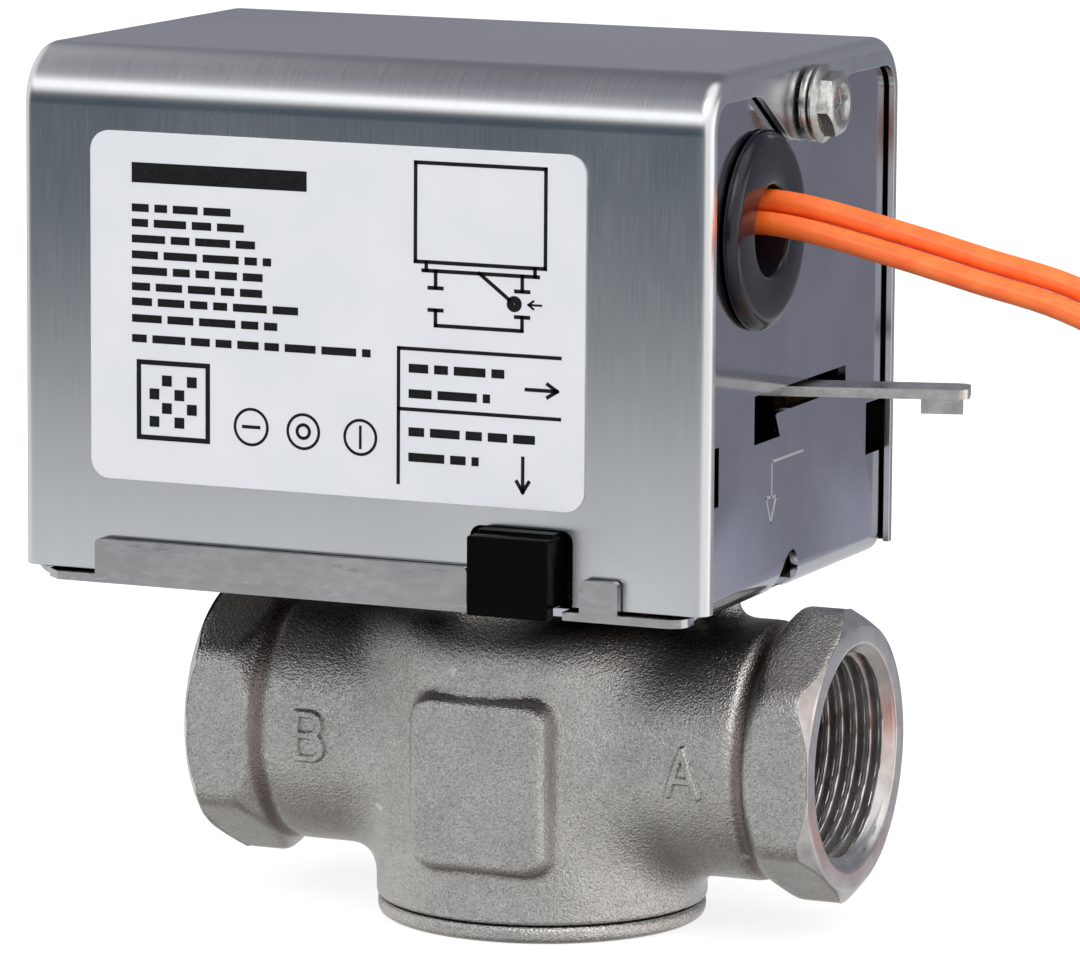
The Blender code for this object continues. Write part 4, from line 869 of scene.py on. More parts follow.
def casting_mesh(h):
    x = np.arange(-43.0, 43.0, h)
    y = np.arange(-24.5, 22.5, h)
    z = np.arange(0.8, 49.0, h)
    X, Y, Z = np.meshgrid(x, y, z, indexing="ij", sparse=True)
    Zp = Z - PORT_Z
    rp = np.sqrt(Y * Y + Zp * Zp)              # radius round the pipe axis
    rc = np.sqrt(X * X + Y * Y)                # radius round the chamber axis
    ax = np.abs(X)
    # chamber: upright cylinder with a broad rounded shoulder
    er = 6.5
    q1 = rc - 20.2 + er
    q2 = Z - 38.9 + er
    ch = np.minimum(np.maximum(q1, q2), 0.0) + np.sqrt(np.maximum(q1, 0) ** 2 + np.maximum(q2, 0) ** 2) - er
    ch = smax(ch, 2.35 - Z, 0.5)
    # pipe stubs
    pipe = np.maximum(rp - PIPE_R, ax - 36.0)
    f = smin(ch, pipe, 4.2)
    # hexagon ends: flats, turned corners, coned back and a turned chamfer
    d0 = np.abs(Y)
    d1 = np.abs(Y * 0.5 + Zp * 0.8660254)
    d2 = np.abs(Y * 0.5 - Zp * 0.8660254)
    hexd = smax(smax(d0, d1, 0.5), d2, 0.5) - 16.0
    hexd = smax(hexd, rp - 17.85, 0.5)
    back = ((32.5 - ax) + (rp - 16.0) * 0.75) * 0.8
    hexd = smax(hexd, back, 0.7)
    # shallow fillet groove where the pipe meets the hexagon
    groove = np.maximum((np.abs(ax - 31.5) - 0.95) * 0.8 + np.maximum(15.35 - rp, 0.0) * 2.0, 15.3 - rp)
    f = smax(f, -groove, 0.5)
    cham = ((rp - 16.07) * 0.8 + (ax - PORT_X)) * 0.78
    hexd = np.maximum(np.maximum(hexd, ax - PORT_X), cham)
    f = smin(f, hexd, 0.45)
    f = np.maximum(f, ax - PORT_X)
    # stem boss and locating posts
    rs = np.sqrt(X * X + (Y - STEM_Y) ** 2)
    boss = np.maximum(rs - 5.5, np.maximum(Z - 42.1, 28.0 - Z))
    f = smin(f, boss, 2.0)
    for s in (-1, 1):
        rq = np.sqrt((X - s * 23.7) ** 2 + Y * Y)
        post = np.maximum(rq - 1.75, np.maximum(Z - 42.1, 30.0 - Z))
        f = smin(f, post, 2.6)
    # rectangular name pad on the front
    dx = np.abs(X - 0.35) - (8.7 - 2.6)
    dz = np.abs(Z - 19.2) - (10.3 - 2.6)
    pad = np.minimum(np.maximum(dx, dz), 0) + np.sqrt(np.maximum(dx, 0) ** 2 + np.maximum(dz, 0) ** 2) - 2.6
    pad = pad - 0.16 * (Y + 21.55)               # drafted flanks
    pad = smax(pad, -21.6 - Y, 1.5)
    pad = np.maximum(pad, Y + 8.0)
    f = smin(f, pad, 0.7)
    # neck above the boss
    neck = np.maximum(rs - np.where((Z > 43.5) & (Z < 45.1), 4.0, 5.0), np.maximum(Z - 47.2, 30.0 - Z))
    f = np.minimum(f, neck)
    pin = [np.maximum(np.sqrt((X - s * 23.7) ** 2 + Y * Y) - 1.0, np.maximum(Z - 44.9, 30.0 - Z)) for s in (-1, 1)]
    f = np.minimum(f, np.minimum(pin[0], pin[1]))
    # hollows
    plugb = np.maximum(rc - 16.5, Z - 7.6)
    cav = np.maximum(rc - 16.0, np.maximum(Z - 33.2, 0.0 - Z))
    cav = smax(cav, (rc - 16.0) * 0.7 + (Z - 31.0) * 0.7, 0.8)
    hole = np.minimum(plugb, cav)
    f = np.maximum(f, -hole)
    noz = np.maximum(rp - 7.4, np.maximum(X + 9.16, -18.5 - X))
    f = np.minimum(f, noz)
    bore_a = np.maximum(rp - 9.5, np.maximum(8.0 - X, X - 43.0))
    bore_b = np.maximum(rp - 5.0, np.maximum(X + 6.0, -43.0 - X))
    thr = np.maximum(rp - 14.3, 26.2 - ax)
    f = np.maximum(f, -np.minimum(np.minimum(bore_a, bore_b), thr))
    stem_b = np.maximum(np.sqrt(X * X + (Y - STEM_Y) ** 2) - np.where(Z < 41.2, 4.4, 2.75),
                        np.maximum(31.0 - Z, Z - 60.0))
    f = np.maximum(f, -stem_b)
    f = np.maximum(f, 2.35 - Z)
    f = np.ascontiguousarray(np.broadcast_to(f, (len(x), len(y), len(z))))
    verts, quads = surface_nets(f, (x[0], y[0], z[0]), h)
    me = bpy.data.meshes.new("casting")
    me.vertices.add(len(verts))
    me.vertices.foreach_set("co", (verts * MM).astype(np.float32).ravel())
    me.loops.add(len(quads) * 4)
    me.loops.foreach_set("vertex_index", quads.astype(np.int32).ravel())
    me.polygons.add(len(quads))
    me.polygons.foreach_set("loop_start", (np.arange(len(quads)) * 4).astype(np.int32))
    me.update(calc_edges=True)
    me.validate()
    me.shade_smooth()
    return me


casting = casting_mesh(0.46)
add("body_casting", casting, M_CAST, BODY, "valve_body")


def port_mesh(sign):
    """Helical internal thread, turned face and the chamfer that runs out on
    the hexagon's flats, closed by a wall hidden in the casting."""
    pitch, r_crest, r_root = 1.814, 12.1, 13.22
    nth = 180
    x0, x1 = 26.3, PORT_X - 0.32
    n = 168
    bm = bmesh.new()
    rings = []

    def ring(fn):
        row = []
        for k in range(nth):
            t = 2 * math.pi * k / nth
            xx, rr = fn(t)
            row.append(bm.verts.new(Vector((sign * xx, rr * math.cos(t), PORT_Z + rr * math.sin(t))) * MM))
        rings.append(row)

    def flat_limit(t):
        u = (t + math.pi / 6) % (math.pi / 3) - math.pi / 6
        return min(16.0 / math.cos(u), 17.85)

    for k in range(n + 1):
        xx = x0 + (x1 - x0) * k / n

        def fn(t, xx=xx):
            ph = (xx / pitch - t / (2 * math.pi) + 0.67) % 1.0
            prof = min(1.0, max(0.0, (abs(ph * 2 - 1) - 0.13) / 0.74))
            prof = prof * prof * (3 - 2 * prof) * 0.35 + prof * 0.65
            rr = r_crest + (r_root - r_crest) * prof * min(1.0, max(0.0, (xx - 27.2) / 1.2))
            return xx, max(rr, 13.05 + (xx - (PORT_X - 0.6)) * 1.1)
        ring(fn)
    for dx, rr in ((0.16, 13.50), (0.03, 13.62), (-0.03, 13.74), (-0.04, 14.0), (-0.04, 15.7), (-0.03, 16.02)):
        ring(lambda t, dx=dx, rr=rr: (PORT_X - dx, rr))
    for step in (0.12, 0.35, 0.6, 0.85, 1.0):
        def fn(t, step=step):
            rr = 16.07 + (max(flat_limit(t), 16.12) - 16.07) * step
            return PORT_X - (rr - 16.07) * 0.8 + 0.035, rr
        ring(fn)
    ring(lambda t: (PORT_X - (max(flat_limit(t), 16.12) - 16.07) * 0.8 - 0.12, max(flat_limit(t), 16.12) - 0.2))
    for dx, rr in ((2.6, 15.2), (6.0, 14.9), (14.4, 14.9), (14.7, 14.0), (14.7, 12.1)):
        ring(lambda t, dx=dx, rr=rr: (PORT_X - dx, rr))
    m = len(rings)
    for i in range(m):
        a, b = rings[i], rings[(i + 1) % m]
        for k in range(nth):
            k2 = (k + 1) % nth
            bm.faces.new((a[k], a[k2], b[k2], b[k]))
    me = bm_mesh(bm, "port")
    return smooth(me, 38)


add("port_a_turned", port_mesh(1), M_TURNED, BODY, "valve_body")
add("port_b_turned", port_mesh(-1), M_TURNED, BODY, "valve_body")


def seg_dist(px, pz, a, b):
    ax_, az_, bx_, bz_ = a[0], a[1], b[0], b[1]
    dx, dz = bx_ - ax_, bz_ - az_
    t = np.clip(((px - ax_) * dx + (pz - az_) * dz) / (dx * dx + dz * dz), 0, 1)
    return np.hypot(px - ax_ - t * dx, pz - az_ - t * dz)


def cast_letter(name, strokes, x, z, rise=0.5, half=0.42):
    """A raised port letter: cast strokes with drafted flanks on the pipe."""
    w, h, n = 3.4, 4.2, (96)
    gx_, gz_ = np.meshgrid(np.linspace(-w, w, n), np.linspace(-h, h, int(n * h / w)), indexing="ij")
    d = np.full(gx_.shape, 9.0)
    for line_ in strokes:
        for p, q in zip(line_, line_[1:]):
            d = np.minimum(d, seg_dist(gx_, gz_, p, q))
    t = np.clip((d - half + 0.18) / 0.52, 0, 1)
    hgt = (1 - t * t * (3 - 2 * t)) * (rise + 0.34) - 0.26
    bm = bmesh.new()
    idx = {}
    nx_, nz_ = gx_.shape
    front, backs = [], []
    for i in range(nx_):
        for j in range(nz_):
            hz = z + gz_[i, j] - PORT_Z
            for off, store in ((float(hgt[i, j]), front), (-0.8, backs)):
                rr = PIPE_R + off
                store.append(bm.verts.new(Vector((x + gx_[i, j], -math.sqrt(max(rr * rr - hz * hz, 1.0)),
                                                  PORT_Z + hz)) * MM))
    def at(s_, i, j):
        return s_[i * nz_ + j]
    for i in range(nx_ - 1):
        for j in range(nz_ - 1):
            bm.faces.new((at(front, i, j), at(front, i + 1, j), at(front, i + 1, j + 1), at(front, i, j + 1)))
            bm.faces.new((at(backs, i, j + 1), at(backs, i + 1, j + 1), at(backs, i + 1, j), at(backs, i, j)))
    for i in range(nx_ - 1):
        bm.faces.new((at(front, i + 1, 0), at(front, i, 0), at(backs, i, 0), at(backs, i + 1, 0)))
        bm.faces.new((at(front, i, nz_ - 1), at(front, i + 1, nz_ - 1), at(backs, i + 1, nz_ - 1), at(backs, i, nz_ - 1)))
    for j in range(nz_ - 1):
        bm.faces.new((at(front, 0, j), at(front, 0, j + 1), at(backs, 0, j + 1), at(backs, 0, j)))
        bm.faces.new((at(front, nx_ - 1, j + 1), at(front, nx_ - 1, j), at(backs, nx_ - 1, j), at(backs, nx_ - 1, j + 1)))
    return add(name, smooth(bm_mesh(bm, name), 60), M_CAST, BODY, "valve_body")


LETTER_A = [[(-1.9, -2.75), (0.0, 2.75), (1.9, -2.75)], [(-1.25, -0.95), (1.25, -0.95)]]
LETTER_B = [[(-1.5, -2.75), (-1.5, 2.75), (0.3, 2.75)] + arc(0.3, 1.45, 1.3, 90, -90, 10) + [(-1.5, 0.15)],
            [(-1.5, 0.15), (0.45, 0.15)] + arc(0.45, -1.3, 1.45, 90, -90, 10) + [(-1.5, -2.75)]]
cast_letter("port_mark_a", LETTER_A, 24.6, 21.9)
cast_letter("port_mark_b", LETTER_B, -24.3, 22.3)

# bottom plug
add("bottom_plug_turned", smooth(lathe(
    [(0, 0.25), (15.0, 0.25), (15.3, 0.0), (18.9, 0.0), (19.4, 0.12), (19.8, 0.4), (20.0, 0.8), (20.05, 1.2),
     (20.02, 1.7), (19.9, 2.0), (19.72, 2.14), (16.2, 2.15), (16.2, 3.8), (14.4, 3.8), (14.4, 5.6), (16.2, 5.6),
     (16.2, 6.8), (15.8, 7.2), (0, 7.2)], 160), 34), M_CAST, BODY, "bottom_plug")

# ---------------------------------------------------------------- housing
CX0, CX1, CY, CZ0, CZ1 = -54.8, 33.7, 31.2, 43.7, 106.3
BEND_R, SHEET, LIP, LIP_TOP = 7.0, 0.8, 2.4, 3.5
SCREW_Y, SCREW_Z = 0.0, 100.6
NB = 18
FOLD = 1.75


def housing(off, bottom):
    r = max(BEND_R - off, 0.8)
    y, top = CY - off, CZ1 - off
    return ([(-y, bottom)] + arc(-y + r, top - r, r, 180, 90, NB) + arc(y - r, top - r, r, 90, 0, NB)
            + [(y, bottom)])


def cover_mesh():
    c = prism(housing(0.0, CZ0), "x", CX0, CX1)
    # the ends are folded: round their outside edges
    bm = bmesh.new()
    bm.from_mesh(c)
    rim = [e for e in bm.edges if abs(e.verts[0].co.x - e.verts[1].co.x) < 1e-7
           and not (abs(e.verts[0].co.z - CZ0 * MM) < 1e-7 and abs(e.verts[1].co.z - CZ0 * MM) < 1e-7)]
    bmesh.ops.bevel(bm, geom=rim, offset=FOLD * MM, segments=6, profile=0.5, affect="EDGES",
                    clamp_overlap=False)
    bmesh.ops.remove_doubles(bm, verts=bm.verts[:], dist=1e-6)
    c = bm_mesh(bm)
    c = cut(c, prism(housing(SHEET, CZ0 - 2), "x", CX0 + SHEET, CX1 - SHEET))
    lp = CY - LIP
    zt = CZ1 - LIP_TOP
    lip = ([(-lp, CZ0 - 2)] + arc(-lp + 3.2, zt - 3.2, 3.2, 180, 90, 10)
           + arc(lp - 3.2, zt - 3.2, 3.2, 90, 0, 10) + [(lp, CZ0 - 2)])
    tab = ([(-lp, CZ0 - 2)] + arc(-lp + 3.2, zt - 3.2, 3.2, 180, 90, 10)
           + [(-16.6, zt), (-15.4, zt - 0.18), (-14.3, zt - 0.75), (-7.4, 97.8), (-6.2, 97.1), (-4.6, 96.6), (-2.6, 96.35),
              (0.0, 96.3), (2.6, 96.35), (4.6, 96.6), (6.2, 97.1), (7.4, 97.8), (12.0, zt - 0.75), (13.0, zt - 0.18), (14.2, zt)]
           + arc(lp - 3.2, zt - 3.2, 3.2, 90, 0, 10) + [(lp, CZ0 - 2)])
    c = cut(c, prism(lip, "x", CX0 - 1, CX0 + SHEET + 0.2), prism(tab, "x", CX1 - SHEET - 0.2, CX1 + 1),
            rod(2.3, CX1 - 3, CX1 + 2, (0, SCREW_Y, SCREW_Z), "x", 40),
            prism([(4.0, CZ0 - 1), (17.0, CZ0 - 1)] + arc(15.6, 51.2, 1.4, 0, 90, 8)
                  + arc(5.4, 51.2, 1.4, 90, 180, 8), "y", -CY - 1, -CY + SHEET + 0.4),
            box(CX0 - 1, CX0 + 1.4, 5.0, 9.0, CZ1 - 2.0, CZ1 + 1))
    return soften(c, 0.14, 2, 34)


add("cover_shell", cover_mesh(), M_BRUSH, BODY, "cover")

BASE_Z0, BASE_T = 42.4, 1.0
EX0, EX1 = -53.7, 32.6
END_T, END_TOP = 1.0, 105.1
GROM_Y, GROM_Z = -13.2, 86.8


def chassis_mesh():
    zi, zo = BASE_Z0 + BASE_T, BASE_Z0
    ro, ri = 2.5, 1.5
    n = 8
    u = ([(EX0, END_TOP)] + arc(EX0 + ro, zo + ro, ro, 180, 270, n)
         + arc(EX1 - ro, zo + ro, ro, 270, 360, n) + [(EX1, END_TOP), (EX1 - END_T, END_TOP)]
         + arc(EX1 - ro, zo + ro, ri, 0, -90, n) + arc(EX0 + ro, zo + ro, ri, 270, 180, n)
         + [(EX0 + END_T, END_TOP)])
    so, si = 32.7, 31.6
    c = prism(u, "y", -29.8, 28.2)
    c = union(c, box(EX0, EX0 + END_T, 27.6, 30.1, zo + 2.8, END_TOP),
              prism([(-51.3, -29.0), (-51.3, -31.0), (-49.4, -so), (28.6, -so), (30.0, -32.5), (31.0, -31.8), (31.4, -30.8), (31.4, -29.0)], "z", zo, zi),
              prism([(-51.3, 27.0), (25.0, 27.0), (25.0, 31.2), (23.4, so), (-49.4, so), (-51.3, 31.0)], "z", zo, zi),
              prism([(-44.4, zo + 0.4), (4.2, zo + 0.4), (4.2, 47.1)] + arc(3.6, 47.1, 0.6, 0, 90, 5)
                    + arc(-43.8, 47.1, 0.6, 90, 180, 5), "y", -so + 0.02, -si),
              prism([(18.5, zo + 0.4), (23.3, zo + 0.4)] + arc(22.6, 46.6, 0.7, 0, 90, 5)
                    + arc(19.2, 46.6, 0.7, 90, 180, 5), "y", -so + 0.02, -si),
              prism([(-44.4, zo + 0.4), (24.2, zo + 0.4)] + arc(23.6, 47.1, 0.6, 0, 90, 5)
                    + arc(-43.8, 47.1, 0.6, 90, 180, 5), "y", si, so - 0.02),
              box(7.4, 13.6, 6.6, 7.6, zi - 0.5, 50.0))
    cutters = [box(5.0, 16.4, -34.0, -30.4, 41.0, 45.0), rod(5.4, 40, 45, (0, STEM_Y, 0)), rod(1.35, 40, 45, (23.7, 0, 0), seg=24),
               rod(1.35, 40, 45, (-23.7, 0, 0), seg=24), rod(1.5, 40, 45, (10.5, -18.5, 0), seg=24),
               rod(9.0, 28, 36, (0, GROM_Y, GROM_Z), "x", 56),
               prism([(-13.7, 61.4), (-5.4, 61.4), (-6.9, 64.1), (-6.3, 64.3), (16.1, 64.4), (16.1, 67.2),
                      (-13.7, 67.2)], "x", 28, 36),
               rod(1.9, 28, 36, (0, SCREW_Y, SCREW_Z), "x", 24),
               prism([(-31.0, 55.7), (-24.7, 55.7), (-24.7, 62.7), (-31.0, 62.7)], "x", 28, 36),
               prism([(23.2, 55.2), (28.5, 55.2), (28.5, 61.6), (23.2, 61.6)], "x", 28, 36),
               prism([(-8.6, 41.0), (0.9, 41.0), (0.8, 45.6), (0.3, 46.6), (-0.7, 47.2), (-1.9, 47.0), (-3.2, 46.2)],
                     "x", 30.2, 36)]
    for y in (-14.0, 0.0, 14.0):
        cutters.append(prism(rounded_rect(y - 1.5, y + 1.5, 60.0, 76.0, 1.4, 6), "x", -58, -50))
    cc = CY - BEND_R
    for sy in (-1, 1):
        corner = [(-cc + a, b) for a, b in arc(0, CZ1 - BEND_R, BEND_R - SHEET - 0.5, 180, 90, 12)]
        corner = [(-36.0, CZ1 - BEND_R)] + corner + [(-cc, 110.0), (-36.0, 110.0)]
        if sy > 0:
            corner = [(-a, b) for a, b in reversed(corner)]
        cutters.append(prism(corner, "x", -60, 40))
    c = cut(c, *cutters)
    return soften(c, 0.26, 3, 30)


add("chassis_plate", chassis_mesh(), M_PLATE, BODY, "base_chassis")


def ribbon(paths, width, depth, plane):
    """Scribed lines: thin strips with mitred ends on a flat face."""
    bm = bmesh.new()
    for path in paths:
        for p, q in zip(path, path[1:]):
            p, q = Vector(p), Vector(q)
            d = (q - p).normalized()
            n = Vector((-d.y, d.x)) * (width / 2)
            p2, q2 = p - d * width * 0.4, q + d * width * 0.4
            vs = []
            for x in (plane, plane + depth):
                vs.append([bm.verts.new(Vector((x, v.x, v.y)) * MM) for v in (p2 - n, q2 - n, q2 + n, p2 + n)])
            a, b = vs
            bm.faces.new(a)
            bm.faces.new(b[::-1])
            for i in range(4):
                bm.faces.new((a[i], a[(i + 1) % 4], b[(i + 1) % 4], b[i]))
    return bm_mesh(bm, "ribbon")


# scribed direction arrow for the lever's open travel
arrow = [[(2.1, 58.7), (-8.0, 58.7), (-8.0, 54.5)],
         [(-8.2, 51.4), (-9.8, 54.6), (-6.5, 54.4), (-8.2, 51.4)]]
add("open_arrow_scribe", ribbon(arrow, 0.34, 0.05, EX1 - 0.004), M_ENGR, BODY, "base_chassis")

# ---------------------------------------------------------------- fastener
SX = CX1 + 0.3 + 0.9 + 0.25


def screw_mesh():
    hexa = [(SCREW_Y + 3.98 * math.cos(math.radians(12 + 60 * k)), SCREW_Z + 3.98 * math.sin(math.radians(12 + 60 * k)))
            for k in range(6)]
    head = prism(hexa, "x", SX + 0.3, SX + 3.0)
    dome = lathe([(0, SX + 0.1), (4.4, SX + 0.1), (4.4, SX + 2.0), (4.0, SX + 2.3), (3.4, SX + 2.62), (2.9, SX + 2.75),
                  (0, SX + 2.75)], 64, (0, SCREW_Y, SCREW_Z), "x")
    head = boolean(head, "INTERSECT", dome)
    flange = lathe([(0, SX), (4.3, SX), (4.68, SX + 0.12), (4.7, SX + 0.42), (4.4, SX + 0.72), (3.9, SX + 1.0), (0, SX + 1.0)],
                   64, (0, SCREW_Y, SCREW_Z), "x")
    m = union(head, flange)
    m = union(m, rod(1.6, 25.5, SX + 0.4, (0, SCREW_Y, SCREW_Z), "x", 24))
    # shallow dished top with a plain cross
    m = cut(m, lathe([(0, SX + 2.35), (2.0, SX + 2.38), (2.7, SX + 2.9), (0, SX + 3.2)], 48, (0, SCREW_Y, SCREW_Z), "x"))
    return soften(m, 0.10, 2, 28)


add("cover_screw_head", screw_mesh(), M_ZINC, BODY, "cover_screw")


def cross_mark():
    out = None
    for a in (20, 110):
        ca, sa = math.cos(math.radians(a)), math.sin(math.radians(a))
        pts = [(-2.1, -0.26), (2.1, -0.26), (2.1, 0.26), (-2.1, 0.26)]
        pts = [(SCREW_Y + p * ca - q * sa, SCREW_Z + p * sa + q * ca) for p, q in pts]
        me = prism(pts, "x", SX + 2.2, SX + 2.66)
        out = me if out is None else union(out, me)
    return soften(out, 0.08, 2, 30)


add("cover_screw_cross", cross_mark(), M_ZINC, BODY, "cover_screw")
add("screw_washer_ring", smooth(lathe(
    [(2.2, CX1 + 0.36), (2.3, CX1 + 0.3), (4.45, CX1 + 0.3), (4.6, CX1 + 0.42), (4.6, CX1 + 1.05), (4.45, CX1 + 1.2),
     (2.3, CX1 + 1.2), (2.2, CX1 + 1.14)], 72, (0, SCREW_Y, SCREW_Z), "x", closed=True), 50), M_ZINC, BODY, "screw_washer")

# ----------------------------------------------------------------- grommet
gx = EX1
prof = [(5.3, gx - 2.6), (5.3, gx + 1.35), (5.38, gx + 1.62), (5.6, gx + 1.82), (5.9, gx + 1.9),
        (10.1, gx + 1.9), (10.6, gx + 1.84), (11.0, gx + 1.66), (11.45, gx + 1.3), (11.7, gx + 0.95), (11.8, gx + 0.6),
        (11.78, gx + 0.36), (11.6, gx + 0.2), (8.7, gx + 0.2), (8.7, gx - 1.2), (10.6, gx - 1.3), (10.6, gx - 2.4), (10.4, gx - 2.6)]
add("cable_grommet_ring", smooth(lathe(prof, 96, (0, GROM_Y, GROM_Z), "x", closed=True), 50), M_RUBBER, BODY,
    "cable_grommet")

# -------------------------------------------------------------------- label
LABEL_Y = -CY - 0.36
add("label_sheet", soften(prism(rounded_rect(-45.4, 18.5, 54.9, 96.6, 2.4, 12), "y", LABEL_Y, -CY - 0.03), 0.05, 2),
    M_LABEL, BODY, "label")


def strip(bm, x0, x1, z0, z1, y0=LABEL_Y - 0.02, y1=LABEL_Y + 0.03):
    vs = [bm.verts.new(Vector((x, y, z)) * MM) for y in (y0, y1) for x, z in ((x0, z0), (x1, z0), (x1, z1), (x0, z1))]
    a, b = vs[:4], vs[4:]
    bm.faces.new(a)
    bm.faces.new(b[::-1])
    for i in range(4):
        bm.faces.new((a[i], a[(i + 1) % 4], b[(i + 1) % 4], b[i]))


def line(bm, p, q, w):
    p, q = Vector(p), Vector(q)
    d = (q - p).normalized()
    n = Vector((-d.y, d.x)) * (w / 2)
    p, q = p - d * w / 2, q + d * w / 2
    vs = [bm.verts.new(Vector((v.x, y, v.y)) * MM) for y in (LABEL_Y - 0.02, LABEL_Y + 0.03)
          for v in (p - n, q - n, q + n, p + n)]
    a, b = vs[:4], vs[4:]
    bm.faces.new(a)
    bm.faces.new(b[::-1])
    for i in range(4):
        bm.faces.new((a[i], a[(i + 1) % 4], b[(i + 1) % 4], b[i]))


def disc(bm, cx, cz, r_out, r_in, n=40):
    rows = []
    for y in (LABEL_Y - 0.02, LABEL_Y + 0.03):
        for r in (r_out, r_in):
            rows.append([bm.verts.new(Vector((cx + r * math.cos(2 * math.pi * k / n), y,
                                              cz + r * math.sin(2 * math.pi * k / n))) * MM) for k in range(n)])
    o0, i0, o1, i1 = rows
    for k in range(n):
        j = (k + 1) % n
        bm.faces.new((o0[k], o0[j], i0[j], i0[k]))
        bm.faces.new((o1[j], o1[k], i1[k], i1[j]))
        bm.faces.new((o0[j], o0[k], o1[k], o1[j]))
        bm.faces.new((i0[k], i0[j], i1[j], i1[k]))


def greek(bm, x0, x1, z, h, seed):
    """A line of print stood in for by word-length dashes."""
    rng = np.random.RandomState(seed)
    x = x0
    while x < x1 - 0.6:
        w = min(float(rng.uniform(1.6, 5.2)), x1 - x)
        strip(bm, x, x + w, z - h / 2, z + h / 2)
        x += w + 0.75


def label_print():
    bm = bmesh.new()
    # heading: plain bar
    strip(bm, -39.9, -17.0, 90.6, 93.0)
    rows = [(-26.9, 87.6), (-24.6, 85.8), (-23.7, 83.9), (-21.6, 82.0), (-21.6, 80.1), (-22.4, 78.2),
            (-18.1, 76.4), (-20.8, 74.4), (-8.7, 72.0)]
    for i, (xe, z) in enumerate(rows):
        greek(bm, -39.9, xe, z, 0.95, 11 + i)
    # plain square target instead of a code
    for x0, x1, z0, z1 in ((-39.3, -29.6, 68.9, 69.5), (-39.3, -29.6, 59.9, 60.5), (-39.3, -38.7, 60.5, 68.9),
                           (-30.2, -29.6, 60.5, 68.9)):
        strip(bm, x0, x1, z0, z1)
    for i in range(4):
        for j in range(4):
            if (i + j) % 2 == 0:
                strip(bm, -37.6 + 1.65 * i, -36.3 + 1.65 * i, 61.5 + 1.65 * j, 62.8 + 1.65 * j)
    # generic round and square symbols
    disc(bm, -24.2, 62.3, 2.3, 1.95)
    strip(bm, -25.4, -23.0, 62.1, 62.5)
    disc(bm, -17.4, 62.2, 2.2, 1.85)
    disc(bm, -17.4, 62.2, 1.0, 0.6)
    disc(bm, -10.0, 62.0, 2.2, 1.85)
    strip(bm, -10.17, -9.83, 60.6, 63.4)
    # generic function sketch: actuator box on a two-port body with a paddle
    w = 0.46
    for p, q in (((-3.0, 94.8), (13.5, 94.8)), ((13.5, 94.8), (13.5, 83.2)), ((-3.0, 94.8), (-3.0, 83.2)),
                 ((-3.0, 83.2), (13.5, 83.2)), ((-2.0, 82.2), (12.6, 82.2)), ((-1.6, 83.2), (-1.6, 82.2)), ((12.2, 83.2), (12.2, 82.2)),
                 ((-0.4, 82.2), (-0.4, 80.2)), ((-1.2, 80.2), (0.4, 80.2)), ((-0.4, 77.6), (-0.4, 75.8)), ((-1.2, 77.6), (0.4, 77.6)),
                 ((-0.4, 75.8), (10.6, 75.8)), ((10.6, 75.8), (10.6, 77.4)), ((9.8, 77.4), (11.4, 77.4)),
                 ((10.6, 82.2), (10.6, 80.4)), ((9.8, 80.4), (11.4, 80.4)), ((5.2, 82.2), (8.9, 79.4))):
        line(bm, p, q, w)
    disc(bm, 9.6, 78.9, 0.95, 0.05)
    line(bm, (11.4, 78.9), (13.0, 78.9), 0.26)
    line(bm, (11.4, 78.9), (12.0, 79.35), 0.26)
    line(bm, (11.4, 78.9), (12.0, 78.45), 0.26)
    # rules, dashes and arrows of the two instructions
    line(bm, (-5.1, 72.9), (15.4, 72.9), 0.44)
    line(bm, (-5.1, 65.75), (15.4, 65.75), 0.44)
    line(bm, (-5.1, 72.9), (-5.1, 57.0), 0.44)
    greek(bm, -3.8, 8.4, 70.6, 1.05, 41)
    greek(bm, -3.8, 6.6, 67.6, 1.05, 42)
    greek(bm, -3.8, 12.8, 63.1, 1.05, 43)
    greek(bm, -3.8, 5.2, 60.1, 1.05, 44)
    line(bm, (11.2, 69.0), (15.0, 69.0), 0.44)
    line(bm, (15.1, 69.0), (13.9, 69.75), 0.44)
    line(bm, (15.1, 69.0), (13.9, 68.25), 0.44)
    line(bm, (10.8, 60.9), (10.8, 57.0), 0.44)
    line(bm, (10.8, 56.9), (10.05, 58.1), 0.44)
    line(bm, (10.8, 56.9), (11.55, 58.1), 0.44)
    return bm_mesh(bm, "label_print")


add("label_print", label_print(), M_INK, BODY, "label")

# ------------------------------------------------------------------- button


def button_mesh():
    b = soften(box(5.6, 15.8, -36.0, -29.4, 43.8, 52.1), 0.30, 3)
    b = union(b, soften(box(5.62, 15.78, -35.98, -33.7, 42.7, 46.0), 0.26, 3))
    # thin moulding step behind the front edge, and the skirt inside the cover
    b = union(b, box(5.9, 15.5, -33.4, -29.2, 51.6, 52.5))
    skirt = soften(box(2.6, 18.6, -30.0, -28.4, 45.2, 54.2), 0.3, 2)
    b = union(b, skirt)
    return soften(b, 0.08, 2, 40)


add("release_button_cap", button_mesh(), M_BUTTON, "button", "release_button")

# -------------------------------------------------------------------- lever
LEVER_ANG = math.radians(16.6)
LEVER_PT, LEVER_TIP_X, LEVER_W, LEVER_Z0, LEVER_T = (33.4, 3.7), 51.2, 6.0, 65.4, 1.2
ca, sa = math.cos(LEVER_ANG), math.sin(LEVER_ANG)


def along(s, t):
    return (LEVER_PT[0] + s * ca - t * sa, LEVER_PT[1] + s * sa + t * ca)


